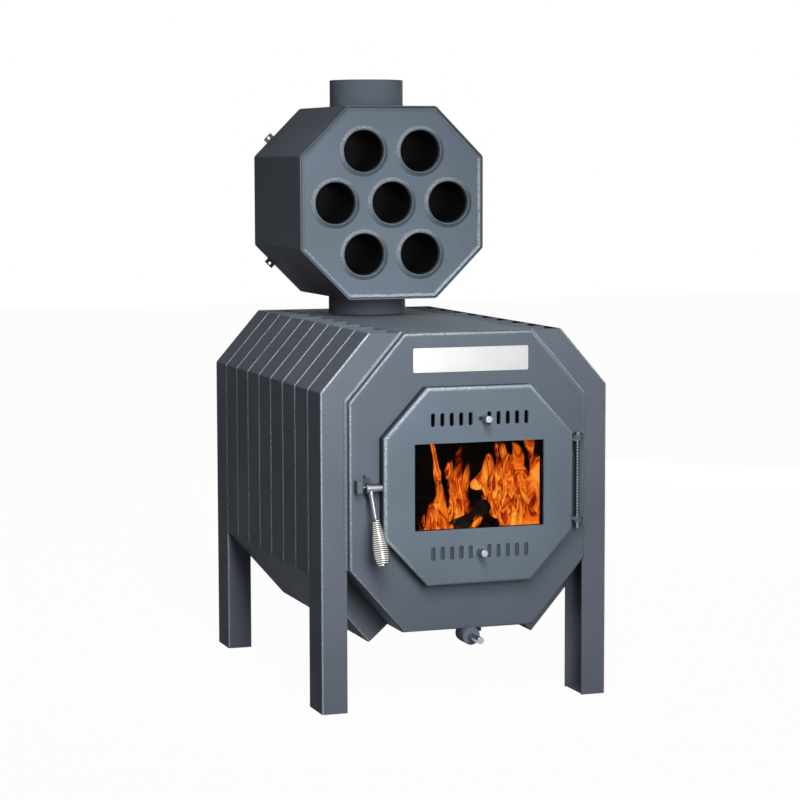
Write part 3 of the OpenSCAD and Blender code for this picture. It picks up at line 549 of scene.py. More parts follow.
def ramp(tree, source, *stops):
    """A colour ramp over a source, with stops of (place, colour)."""
    node = add_node(tree, "ShaderNodeValToRGB", source)
    elements = node.color_ramp.elements
    while len(elements) < len(stops):
        elements.new(0.5)
    for element, (place, colour) in zip(elements, stops):
        element.position = place
        element.color = (*colour, 1)
    return node.outputs["Color"]


def bumps(tree, *layers):
    """Chains bumps of (height, strength, distance) into the shader's normal."""
    below = {}
    for height, strength, distance in layers:
        bump = add_node(tree, "ShaderNodeBump", Height=height, Strength=strength, Distance=distance, **below)
        below = {"Normal": bump.outputs["Normal"]}
    to_shader(tree, below)


def shaded(colour, factor):
    """A colour made lighter or darker."""
    return tuple(min(1.0, c * factor) for c in colour)


def paint(name, colour, pale, gloss, grain=1.0):
    """Satin heat-resistant paint: a fine orange-peel grain, faint clouding and drifting gloss."""
    material, tree = new_material(name)
    to_shader(tree, {"Base Color": paint_tone(tree, colour, pale), "IOR": 1.16})
    paint_gloss(tree, gloss, grain)
    return material


def paint_tone(tree, colour, pale):
    """Colour of the paint: broad clouds and a fine fleck, within a tenth of the colour.

    Where the attribute of wear and painted light is above zero, gritty spots of the pale tone lie over it as
    wear and painted highlight, and where it is below zero, a dark tone lies over it: painted shade, with some
    grime in the weld beads' feet.
    """
    fleck, cloud = object_noise(tree, 700.0, 1.0), object_noise(tree, 4.5, 4.0)
    drift = maths(tree, "MULTIPLY_ADD", fleck, 0.22, cloud)
    tone = ramp(tree, drift, (0.42, shaded(colour, 0.92)), (0.61, colour), (0.80, shaded(colour, 1.10)))
    wear_highlight_and_shade = attribute(tree, "wear_highlight_and_shade")
    grit = ranged(tree, object_noise(tree, 420.0, 4.0), 0.15, 1.0, 0.38, 0.60)
    tone = blend(tree, maths(tree, "MULTIPLY", wear_highlight_and_shade, grit), tone, (*pale, 1))
    return blend(tree, maths(tree, "MULTIPLY", wear_highlight_and_shade, -1.0), tone, (*shaded(colour, 0.06), 1))


def paint_gloss(tree, gloss, grain=1.0):
    """Drifting roughness, broad waves and the orange peel of sprayed paint."""
    drift = ranged(tree, object_noise(tree, 6.0, 3.0), gloss - 0.04, gloss + 0.05)
    to_shader(tree, {"Roughness": drift, "Specular IOR Level": 0.09})
    wave, peel = object_noise(tree, 28.0, 1.0), object_noise(tree, 420.0, 2.0)
    bumps(tree, (wave, 0.10, 1.0 * MM), (peel, 0.22 * grain, 0.25 * MM))


def sooted_paint(name, colour, pale, gloss):
    """Paint on the outside of the drum and its rear plate, and black soot on their inner side.

    Inside is where the largest of the distances to six planes is below zero: |x| - w, the slants'
    |x| sin a + z cos a - c and |x| sin a - z cos a - d, the flats' z - e and f - z, and the rear's
    y - g. The planes lie in the middle of the sheet.
    """
    material, tree = new_material(name)
    parts = object_parts(tree)
    side = maths(tree, "ABSOLUTE", parts["X"])
    corners = drum_outline(-DRUM_SHEET / 2)
    across, up = sin(DRUM_SLANT), cos(DRUM_SLANT)
    planes = (
        (1, 0, corners[1]), (across, up, corners[3]), (across, -up, corners[0]),
        (0, 1, corners[3]), (0, -1, corners[0]),
    )
    rear_low, rear_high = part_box("drum_rear_plate")
    most = maths(tree, "SUBTRACT", parts["Y"], (rear_low.y + rear_high.y) / 2)
    for x_share, z_share, (x, z) in planes:
        level = maths(tree, "MULTIPLY_ADD", parts["Z"], z_share, -(x_share * x + z_share * z))
        most = maths(tree, "MAXIMUM", most, maths(tree, "MULTIPLY_ADD", side, x_share, level))
    outside = maths(tree, "GREATER_THAN", most, 0.0)
    soot = ramp(tree, object_noise(tree, 30.0, 5.0), (0.35, SOOT_DARK), (0.70, SOOT_LIGHT))
    to_shader(tree, {"Base Color": blend(tree, outside, soot, paint_tone(tree, colour, pale))})
    paint_gloss(tree, gloss)
    return material


def tube_finish(name, colour, pale, gloss):
    """Paint on the tubes' mouths, which turns to near black over 16 mm behind each mouth: painted shade deep
    in the tubes.
    """
    material, tree = new_material(name)
    away = maths(tree, "SUBTRACT", object_parts(tree)["Y"], (TUBE_LOW.y + TUBE_HIGH.y) / 2)
    half = (TUBE_HIGH.y - TUBE_LOW.y) / 2
    share = ranged(tree, maths(tree, "ABSOLUTE", away), 0.0, 0.8, half - 16 * MM, half)
    # The tube's inside darkens to near black away from the mouth: painted shade
    tone = blend(tree, share, (0.006, 0.006, 0.007, 1), paint_tone(tree, colour, pale))
    to_shader(tree, {"Base Color": tone, "IOR": 1.10})
    paint_gloss(tree, gloss)
    return material


def metal(name, colour, rough, stretch=(1, 1, 1), scratch=0.12, scale=900.0, cloud=1.0, gap_shade=False):
    """Bare or plated metal with fine marks, drawn out by stretch along the axes, and a drifting sheen.

    With gap shade, a wound wire gets painted shade where the attribute "outer" says that it faces its
    neighbours.
    """
    material, tree = new_material(name)
    marks = object_noise(tree, scale, 3.0, stretch)
    tone = ramp(
        tree, object_noise(tree, 35.0, 3.0),
        (0.30, shaded(colour, 1 - 0.14 * cloud)), (0.55, colour), (0.75, shaded(colour, 1 + 0.06 * cloud)))
    if gap_shade:
        # Painted shade between neighbouring turns of the wire
        facing_out = ranged(tree, attribute(tree, "outer"), 0.0, 1.0, 0.45, 0.85)
        tone = blend(tree, facing_out, (*shaded(colour, 0.04), 1), tone)
    sheen = ranged(tree, marks, rough - 0.06, rough + 0.09)
    to_shader(tree, {"Base Color": tone, "Metallic": 1.0, "Roughness": sheen})
    bumps(tree, (marks, scratch, 0.1 * MM))
    return material


def rough_stuff(name, dark, light, scale, rough, depth):
    """A rough surface: brick, char or hot bare steel."""
    material, tree = new_material(name)
    coarse, pits = object_noise(tree, scale, 6.0), object_noise(tree, scale * 9, 4.0)
    to_shader(tree, {
        "Base Color": ramp(tree, coarse, (0.35, dark), (0.68, light)),
        "Roughness": ranged(tree, pits, rough - 0.08, rough + 0.08),
        "Specular IOR Level": 0.04})
    bumps(tree, (coarse, 0.5, depth), (pits, 0.5, depth / 4))
    return material


def woven(name, dark, light, pitch):
    """Glass-fibre rope or tape: two crossed waves on Object coordinates make its yarns, under a fine fuzz."""
    material, tree = new_material(name)
    yarns = []
    for lay in (radians(40), radians(-40)):
        place = add_node(tree, "ShaderNodeMapping", object_place(tree), Rotation=(0, lay, 0))
        yarns.append(add_node(
            tree, "ShaderNodeTexWave", place.outputs["Vector"], Scale=1 / (6.28 * pitch),
            Distortion=0.6, Detail=1.0).outputs["Fac"])
    weave = maths(tree, "MAXIMUM", *yarns)
    to_shader(tree, {
        "Base Color": ramp(tree, weave, (0.2, dark), (0.9, light)), "Roughness": 0.9, "Sheen Weight": 0.3})
    bumps(tree, (weave, 0.7, 0.6 * MM), (object_noise(tree, 1600.0, 2.0), 0.3, 0.2 * MM))
    return material


def pane_glass(name):
    """Heat-resistant pane, faintly smoked in soft clouds."""
    material, tree = new_material(name)
    smoke = ramp(tree, object_noise(tree, 14.0, 4.0), (0.4, (1.0, 0.97, 0.93)), (0.8, (0.80, 0.74, 0.66)))
    to_shader(tree, {"Base Color": smoke, "Transmission Weight": 1.0, "Roughness": 0.0, "IOR": 1.07})
    return material


def moved(tree, place, scale, reach):
    """A place moved by noise of a scale, up to half of reach along each axis."""
    shift, middle = noise(tree, place, scale, 2.0, "Color"), (0.5, 0.5, 0.5)
    centred = add_node(tree, "ShaderNodeVectorMath", shift, middle, operation="SUBTRACT").outputs["Vector"]
    end = add_node(tree, "ShaderNodeVectorMath", centred, reach, place, operation="MULTIPLY_ADD")
    return end.outputs["Vector"]


def threads(tree, place, scale, sharpness):
    """Bright lines along the middle of a noise n: 1 - k |n - 0.5|, and never below zero."""
    away = maths(tree, "ABSOLUTE", maths(tree, "SUBTRACT", noise(tree, place, scale, 1.5), 0.5))
    return maths(tree, "MAXIMUM", maths(tree, "MULTIPLY_ADD", away, -sharpness, 1.0), 0.0)


def flame_stuff(name, colour):
    """Fire: each tongue's own body, torn by warped noise and run through with bright threads.

    The place is drawn out upwards and in depth, then moved by a slow noise and by a quicker one.
    There the mask is 1.4 times the tongue's own body plus 4.6 times a broad noise, less a threshold,
    and it gives the opacity. The colour climbs with the mask and with two sets of threads.
    """
    material, tree = new_material(name)
    drawn = add_node(tree, "ShaderNodeMapping", object_place(tree), Scale=(1, 0.35, 0.27)).outputs["Vector"]
    place = moved(tree, drawn, 13.0, (0.13, 0.0, 0.06))
    place = moved(tree, place, 52.0, (0.045, 0.0, 0.028))
    mask = maths(tree, "MULTIPLY_ADD", noise(tree, place, 28.0, 4.0), 4.6, -3.12)
    mask = maths(tree, "MULTIPLY_ADD", attribute(tree, "tongue"), 1.4, mask)
    warmth = maths(tree, "MULTIPLY", mask, 0.22)
    warmth = maths(tree, "MULTIPLY_ADD", threads(tree, place, 56.0, 12.0), 0.34, warmth)
    warmth = maths(tree, "MULTIPLY_ADD", threads(tree, place, 130.0, 10.0), 0.26, warmth)
    warm = ramp(
        tree, warmth, (0.05, (0.14, 0.007, 0.0)), (0.22, (0.50, 0.045, 0.002)), (0.42, colour),
        (0.68, (1.0, 0.42, 0.05)), (1.0, (1.0, 0.76, 0.26)))
    to_shader(tree, {
        "Emission Color": warm, "Emission Strength": 1.0, "Base Color": (0, 0, 0, 1),
        "Specular IOR Level": 0.0, "Alpha": ranged(tree, mask, 0.0, 1.0, -0.02, 0.26)})
    return material


# Tones of soot and of sooted steel, brick, rope and char, each as its dark and its light. The sooted steel is
# near black, which is also painted shade behind the door's slots
SOOT_DARK, SOOT_LIGHT = (0.006, 0.005, 0.005), (0.022, 0.019, 0.017)
STEEL_TONES = (0.004, 0.004, 0.004), (0.013, 0.012, 0.011)
BRICK_TONES = (0.34, 0.27, 0.19), (0.62, 0.52, 0.39)
ROPE_TONES = (0.30, 0.28, 0.25), (0.66, 0.63, 0.57)
CHAR_TONES = (0.003, 0.002, 0.002), (0.014, 0.010, 0.008)

# The finish of each of the record's slots, and of the looks that a few pieces have instead
FINISHES = {
    "front_paint": lambda name, c: paint(name, c.front_paint, c.wear_and_highlight_paint, 0.60),
    "plate_paint_in_shade": lambda name, c: paint(name, c.plate_paint_in_shade, c.wear_and_highlight_paint, 0.60),
    "body_paint": lambda name, c: paint(name, c.body_paint, c.wear_and_highlight_paint, 0.62),
    "drum_paint": lambda name, c: sooted_paint(name, c.body_paint, c.wear_and_highlight_paint, 0.62),
    "weld_paint": lambda name, c: paint(name, shaded(c.front_paint, 0.9), c.wear_and_highlight_paint, 0.45, 1.6),
    # The slides' paint is the front paint at half its brightness: painted shade behind the door's slots
    "slide_paint_in_shade": lambda name, c: paint(name, shaded(c.front_paint, 0.5), c.wear_and_highlight_paint, 0.60),
    "tube_steel": lambda name, c: tube_finish(name, c.front_paint, c.wear_and_highlight_paint, 0.55),
    "inner_steel": lambda name, c: rough_stuff(name, *STEEL_TONES, 40.0, 0.8, 0.4 * MM),
    "zinc": lambda name, c: metal(name, c.zinc, 0.30),
    "nickel": lambda name, c: metal(name, c.nickel, 0.14, scratch=0.04, cloud=0.4, gap_shade=True),
    "blued_zinc": lambda name, c: metal(name, shaded(c.zinc, 0.55), 0.33),
    "spring_steel": lambda name, c: metal(name, (0.060, 0.066, 0.078), 0.28, gap_shade=True),
    "stainless": lambda name, c: metal(name, (0.46, 0.465, 0.455), 0.34, (1, 1, 40), 0.08, 160.0, 0.2),
    "dark_steel": lambda name, c: metal(name, (0.20, 0.21, 0.22), 0.35),
    "fire_brick": lambda name, c: rough_stuff(name, *BRICK_TONES, 60.0, 0.85, 0.6 * MM),
    "rope": lambda name, c: woven(name, *ROPE_TONES, 1.6 * MM),
    "pane": lambda name, c: pane_glass(name),
    "flame": lambda name, c: flame_stuff(name, c.flame),
    "char": lambda name, c: rough_stuff(name, *CHAR_TONES, 50.0, 0.85, 3 * MM),
}

# Tongues of flame, all as shares of the pane seen from the camera's side: place across it and height of
# the root from its lower edge, height of the tip, width, lean to the right and depth behind the door
TONGUES = (
    (0.34, -0.10, 0.80, 0.40, 0.04, 0.50),
    (0.36, 0.18, 1.34, 0.30, 0.03, 0.62),
    (0.15, -0.08, 0.74, 0.30, 0.08, 0.38),
    (0.24, -0.14, 0.40, 0.36, -0.05, 0.30),
    (0.43, -0.10, 0.44, 0.18, 0.06, 0.42),
    (0.19, 0.46, 1.20, 0.07, -0.06, 0.75),
    (0.08, -0.10, 0.30, 0.18, -0.04, 0.55),
    (0.68, 0.06, 1.16, 0.38, 0.02, 0.62),
    (0.50, 0.42, 0.98, 0.20, 0.18, 0.80),
    (0.84, -0.08, 0.92, 0.40, -0.03, 0.48),
    (0.95, 0.06, 1.20, 0.30, -0.02, 0.56),
    (0.82, 0.40, 1.30, 0.34, 0.00, 0.90),
    (0.60, 0.06, 0.52, 0.20, 0.08, 0.95),
    (0.92, -0.14, 0.46, 0.30, -0.08, 0.34),
    (0.74, -0.12, 0.44, 0.26, 0.05, 0.34),
)


# Operators

class STOVE_OT_channels(bpy.types.Operator):
    """Bends the air channels and the four legs from sheet, and finishes the drum between them"""

    bl_idname = "stove.channels"
    bl_label = "Channels and legs"

    def execute(self, context):
        sizes = context.scene.stove_sizes
        inset, setback = quarter(sizes.channel_bend, sizes.bend_steps)
        inner_inset, inner_setback = quarter(sizes.channel_bend - sizes.channel_sheet, 3)
        outer = [(0, 0), *zip(CHANNEL_DEPTH - inset, setback)]
        outer += [(CHANNEL_DEPTH - i, CHANNEL_PITCH - s) for i, s in zip(inset[::-1], setback[::-1])]
        outer += [(0, CHANNEL_PITCH)]
        hollow = CHANNEL_DEPTH - sizes.channel_sheet
        low, high = sizes.channel_sheet, CHANNEL_PITCH - sizes.channel_sheet
        inner = [(0, low), *zip(hollow - inner_inset, low + inner_setback)]
        inner += [(hollow - i, high - s) for i, s in zip(inner_inset[::-1], inner_setback[::-1])]
        inner += [(0, high)]
        profile = outer + inner[::-1]
        # Pale along the crown of the near fold, less along the far one, and most at the upper end: partly
        # wear, partly painted highlight
        near_fold, far_fold, upper_end = 0.8, 0.3, 1.1
        crown = np.sin(np.linspace(0, pi, sizes.bend_steps + 1)) ** 5
        rubbed_and_lit = np.concatenate([[0], crown, far_fold * crown, [0], np.zeros(len(inner))])
        nodes = [n for n in BODY_OF if n.startswith(("duct_", "leg_"))]
        for node in nodes:
            leg = node.startswith("leg_")
            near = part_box(node)[0].y
            lines = np.array([channel_line(depth, leg) for depth, _ in profile])
            offsets = np.array([y for _, y in profile])[:, None]
            grid = np.stack([
                lines[..., 0], np.broadcast_to(near + offsets, lines.shape[:2]), lines[..., 1]], axis=-1)
            if "left" in node:
                grid = grid * (-1, 1, 1)
            share = np.full(lines.shape[1], near_fold)
            share[-2:] = upper_end
            piece = surface(node + "_sheet", grid.transpose(1, 0, 2), caps=True, crease=30,
                            marks={"wear_highlight_and_shade": share[:, None] * rubbed_and_lit})
            weighted(piece)
            stands_for(piece, node)
        painted("foot_plates")
        painted("firebox_drum", "drum_paint")
        painted("drum_rear_plate", "drum_paint")
        dressed("flue_collar", 0.6 * MM)
        return {"FINISHED"}


class STOVE_OT_front(bpy.types.Operator):
    """Folds the front plate and sets the name plate and the latch's keeper on it"""

    bl_idname = "stove.front"
    bl_label = "Front plate"

    def execute(self, context):
        sizes = context.scene.stove_sizes
        inset, setback = quarter(sizes.plate_bend, sizes.bend_steps)
        edge, strip, door_overlap = -1 * MM, 2 * MM, 22.3 * MM
        face, back = PLATE_LOW.y, PLATE_HIGH.y
        rows = [(edge - sizes.plate_bend - strip, face)]
        rows += [(edge - i, face + s) for i, s in zip(inset, setback)]
        rows += [(edge, back), (edge - sizes.sheet, back), (edge - sizes.sheet, face + sizes.sheet)]
        opening = [(-door_overlap, face + sizes.sheet), (-door_overlap, face)]
        grid = np.vstack([stacked(drum_outline, rows), stacked(door_outline, opening)])
        wear_highlight_and_shade = bend_wear_highlight_and_shade(grid, sizes.bend_steps, (0, DOOR_Z), 0.6)
        piece = surface("front_plate_sheet", grid, wrap_rows=True, crease=30, marks={"wear_highlight_and_shade": wear_highlight_and_shade})
        weighted(piece)
        # The plate takes the darker copy of the door's paint, as painted shade
        stands_for(piece, "front_plate", look="plate_paint_in_shade")
        dressed("name_plate", 0.4 * MM)
        dressed("latch_keeper", 0.5 * MM)
        return {"FINISHED"}


class STOVE_OT_door(bpy.types.Operator):
    """Folds the door's box, cuts its window and air slots and lays its rope seal"""

    bl_idname = "stove.door"
    bl_label = "Door"

    def slot_outline(self, width, height):
        """A slot with round ends: two half circles joined by straight sides, as (x, z) from its middle."""
        sides = 24
        turn = np.linspace(0, 2 * pi, sides, endpoint=False) + pi / sides
        radius = min(width, height) / 2
        x, z = radius * np.cos(turn), radius * np.sin(turn)
        return np.column_stack([
            x + np.sign(np.cos(turn)) * (width / 2 - radius),
            z + np.sign(np.sin(turn)) * (height / 2 - radius)])

    def cutters(self, sizes, y_low, y_high):
        """Prisms for the window, the air slots and the knobs' slots, as one mesh."""
        half = np.array([sizes.window_width, sizes.window_height]) / 2
        shapes = [(np.array([[-1, -1], [1, -1], [1, 1], [-1, 1]]) * half, (0, 0))]
        slot = self.slot_outline(SLOT_WIDTH, SLOT_HEIGHT)
        knob_slot = self.slot_outline(KNOB_SLOT_WIDTH, KNOB_SLOT_HEIGHT)
        for rise in (-SLOT_RISE, SLOT_RISE):
            for place in (n for n in range(-SLOTS_A_SIDE, SLOTS_A_SIDE + 1) if n):
                shapes.append((slot, (place * SLOT_PITCH, rise)))
            shapes.append((knob_slot, (KNOB_SLOT_OFFSET, rise)))
        pieces = []
        for outline, middle in shapes:
            x, z = (outline + middle + (DOOR_X, DOOR_Z)).T
            grid = [np.column_stack([x, np.full(len(x), y), z]) for y in (y_low, y_high)]
            pieces.append(surface("cut", grid, caps=True))
        return joined("door_cutters", pieces, 30)

    def execute(self, context):
        sizes = context.scene.stove_sizes
        inset, setback = quarter(sizes.door_bend, sizes.bend_steps)
        strip, past = 2 * MM, 5 * MM
        face, back = DOOR_LOW.y, DOOR_HIGH.y
        rows = [(-sizes.door_bend - strip, face)]
        rows += [(-i, face + s) for i, s in zip(inset, setback)]
        rows += [(0, back), (-sizes.sheet, back), (-sizes.sheet, face + sizes.sheet)]
        grid = stacked(door_outline, rows)
        wear_highlight_and_shade = bend_wear_highlight_and_shade(grid, sizes.bend_steps, (DOOR_X, DOOR_Z), 0.7)
        piece = surface("door_sheet", grid, caps=True, crease=30, marks={"wear_highlight_and_shade": wear_highlight_and_shade})
        cutter = self.cutters(sizes, face - past, face + sizes.sheet + past)
        cut = piece.modifiers.new("Openings", "BOOLEAN")
        cut.object = cutter
        cut.solver = "EXACT"
        view = context.evaluated_depsgraph_get()
        mesh = bpy.data.meshes.new_from_object(piece.evaluated_get(view))
        piece.modifiers.clear()
        piece.data = mesh
        shade(mesh, 30)
        bpy.data.objects.remove(cutter)
        bevelled(piece, 0.5 * MM, 60)
        weighted(piece)
        stands_for(piece, "door_shell")
        for node in ("door_liner", "slide_guides", "door_glass", "glass_gasket"):
            painted(node)
        # The slides take the darker paint, as painted shade behind the slots
        for node in ("upper_slide", "lower_slide"):
            painted(node, "slide_paint_in_shade")
        dressed("glass_clips", 0.3 * MM)
        self.rope_seal()
        return {"FINISHED"}

    def rope_seal(self):
        """Round-cornered rope in the door's groove: its section is a rounded box that swells with each twist.

        Round the section t runs from 0 to 360 degrees, and the point is cos t and sin t to the power
        0.6, with their signs, times half the width and half the depth, and times 0.95 + 0.05 cos of
        the run's and the section's turns, which makes a twist every 9 mm.
        """
        low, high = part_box("door_rope_seal")
        depth, middle_y = high.y - low.y, (low.y + high.y) / 2
        width, from_edge, corner, spacing, lay = 14 * MM, 4.15 * MM, 9 * MM, 2.2 * MM, 9 * MM
        corners = softened(door_outline(-(from_edge + width / 2)), corner, True)
        line, _ = along(np.vstack([corners, corners[:1]]), spacing)
        line = line[:-1]
        way = np.roll(line, -1, axis=0) - np.roll(line, 1, axis=0)
        way /= np.linalg.norm(way, axis=1, keepdims=True)
        out = np.column_stack([way[:, 1], -way[:, 0]])
        turn = np.linspace(0, 2 * pi, 20, endpoint=False)[None, :]
        step = np.linalg.norm(np.roll(line, -1, axis=0) - line, axis=1)
        run = np.concatenate([[0], np.cumsum(step)[:-1]])[:, None]
        count = round(step.sum() / lay)
        twist = 0.95 + 0.05 * np.cos(2 * pi * run * count / step.sum() + 3 * turn)
        across = width / 2 * np.sign(np.cos(turn)) * np.abs(np.cos(turn)) ** 0.6 * twist
        deep = depth / 2 * np.sign(np.sin(turn)) * np.abs(np.sin(turn)) ** 0.6 * twist
        grid = np.stack([
            line[:, 0][:, None] + out[:, 0][:, None] * across,
            middle_y + deep,
            line[:, 1][:, None] + out[:, 1][:, None] * across], axis=-1)
        piece = surface("rope_seal_braid", grid, wrap_rows=True, crease=80)
        stands_for(piece, "door_rope_seal")


class STOVE_OT_welds(bpy.types.Operator):
    """Lays the rippled weld beads on body and exchanger"""

    bl_idname = "stove.welds"
    bl_label = "Weld beads"

    def execute(self, context):
        sizes = context.scene.stove_sizes
        self.seams(sizes)
        self.exchanger(sizes)
        return {"FINISHED"}

    def seams(self, sizes):
        """Fillets between the channels' fronts and the drum: up each side and its upper slant."""
        low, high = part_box("seam_welds")
        width, lift, spacing = 6 * MM, 0.85 * (high.y - low.y), 0.8 * MM
        line, way = along(drum_outline(0)[1:4], spacing)
        path = np.column_stack([line[:, 0], np.full(len(line), high.y), line[:, 1]])
        across = np.column_stack([way[:, 1], np.zeros(len(line)), -way[:, 0]])
        height = np.tile([0.0, -1.0, 0.0], (len(line), 1))
        grid, wear_highlight_and_shade = bead_grid(path, across, height, width, lift, sizes)
        # On the slants the marks are stronger than on the upright stretches: painted highlight and shade from
        # the upper left, with some wear
        rubbed_and_lit = np.where(way[:, 1] < 0.99, 1.0, 0.45)[:, None]
        pieces = [closed_bead("seam", grid * (side, 1, 1), wear_highlight_and_shade * rubbed_and_lit, False) for side in (-1, 1)]
        stands_for(joined("seam_beads", pieces, 70), "seam_welds")

    def exchanger(self, sizes):
        """A ring round each tube and a bead inside the shell's rim, at both ends."""
        ring_width, ring_lift, ring_points, ring_sections = 6.5 * MM, 4.2 * MM, 340, 8
        rim_width, rim_lift, rim_spacing, rim_corner = 7.5 * MM, 2.6 * MM, 0.9 * MM, 2.5 * MM
        beside = 0.1 * MM
        turn = np.linspace(0, 2 * pi, ring_points, endpoint=False)
        out = np.column_stack([np.cos(turn), np.zeros(ring_points), np.sin(turn)])
        # A ring's pale marks are a painted highlight at its upper left, and painted shadow lies along its
        # foot at the lower right
        upper_left = (0.8 * out[:, 2] - 0.6 * out[:, 0])[:, None]
        foot = np.clip(1 - 2.2 * np.linspace(0, 1, ring_sections), 0, 1)
        corners = softened(shell_outline(-(SHELL_SHEET + beside)), rim_corner, True)
        line, way = along(np.vstack([corners, corners[:1]]), rim_spacing)
        line, way = line[:-1], way[:-1]
        inward = np.column_stack([-way[:, 1], np.zeros(len(line)), way[:, 0]])
        # The rim's bead has its painted highlight along the underside and the right
        rim_share = np.clip(0.3 + 0.8 * inward[:, 2] - 0.5 * inward[:, 0], 0.1, 1)[:, None]
        front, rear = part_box("exchanger_front_plate"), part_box("exchanger_rear_plate")
        pieces = []
        for y, facing in ((front[0].y, -1.0), (rear[1].y, 1.0)):
            height = np.tile([0.0, facing, 0.0], (ring_points, 1))
            for x, z in tube_places():
                path = np.array([x, y, z]) + (TUBE_RADIUS + beside) * out
                grid, wear_highlight_and_shade = bead_grid(path, out, height, ring_width, ring_lift, sizes, ring_sections)
                wear_highlight_and_shade = np.clip(0.25 + upper_left, 0, 1) * (0.22 + 0.25 * np.maximum(wear_highlight_and_shade, 0))
                painted_foot_shadow = foot * np.clip(0.4 - upper_left, 0, 1)
                pieces.append(closed_bead("ring", grid, wear_highlight_and_shade - painted_foot_shadow, True))
            path = np.column_stack([line[:, 0], np.full(len(line), y), line[:, 1]])
            height = np.tile([0.0, facing, 0.0], (len(line), 1))
            grid, wear_highlight_and_shade = bead_grid(path, inward, height, rim_width, rim_lift, sizes)
            wear_highlight_and_shade = np.where(wear_highlight_and_shade > 0, rim_share * (0.3 + 0.6 * wear_highlight_and_shade), wear_highlight_and_shade)
            pieces.append(closed_bead("rim", grid, wear_highlight_and_shade, True))
        stands_for(joined("exchanger_beads", pieces, 70), "exchanger_welds")


def tube_places():
    """Middles (x, z) of the tubes: one in the centre and six round it."""
    ring = [(TUBE_RING * cos(i * pi / 3), TUBE_RING * sin(i * pi / 3)) for i in range(6)]
    return [(0.0, SHELL_Z)] + [(x, SHELL_Z + z) for x, z in ring]


class STOVE_OT_exchanger(bpy.types.Operator):
    """Bends the exchanger's shell and sets its tubes and stubs"""

    bl_idname = "stove.exchanger"
    bl_label = "Heat exchanger"

    def execute(self, context):
        bend, edge = 3.2 * MM, 0.5 * MM
        near, far = SHELL_LOW.y, SHELL_HIGH.y
        inner = -SHELL_SHEET
        rows = [(0, near + edge), (-edge, near), (inner + edge, near), (inner, near + edge)]
        rows += [(inner, far - edge), (inner + edge, far), (-edge, far), (0, far - edge)]
        grid = stacked(lambda grow: softened(shell_outline(grow), bend, True), rows)
        piece = surface("exchanger_sheet", grid, wrap_rows=True, crease=50)
        weighted(piece)
        stands_for(piece, "exchanger_shell")
        painted("exchanger_front_plate")
        painted("exchanger_rear_plate")
        self.tubes()
        dressed("flue_stubs", 0.4 * MM)
        dressed("exchanger_ears", 0.4 * MM)
        return {"FINISHED"}

    def tubes(self):
        """Tubes with countersunk mouths: the wall's section is carried round each axis."""
        outer, mouth, inner, soft, sink = TUBE_RADIUS, 42.7 * MM, TUBE_BORE, 0.5 * MM, 9 * MM
        near, far = TUBE_LOW.y, TUBE_HIGH.y
        profile = [
            (outer, near + 4 * soft), (outer, near + soft), (outer - soft, near),
            (mouth + soft, near), (mouth, near + soft), (inner, near + sink),
            (inner, far - sink), (mouth, far - soft), (mouth + soft, far),
            (outer - soft, far), (outer, far - soft), (outer, far - 4 * soft)]
        # Painted shadow on the tube's outer wall behind the mouth, and a painted highlight on the mouth's lip
        wear_highlight_and_shade = [-1, -0.3, 0.3, 0.3, 0.1, 0]
        wear_highlight_and_shade += wear_highlight_and_shade[::-1]
        pieces = [turned("tube", profile, x, z, wear_highlight_and_shade) for x, z in tube_places()]
        stands_for(joined("exchanger_tube_bank", pieces, 50), "exchanger_tubes")


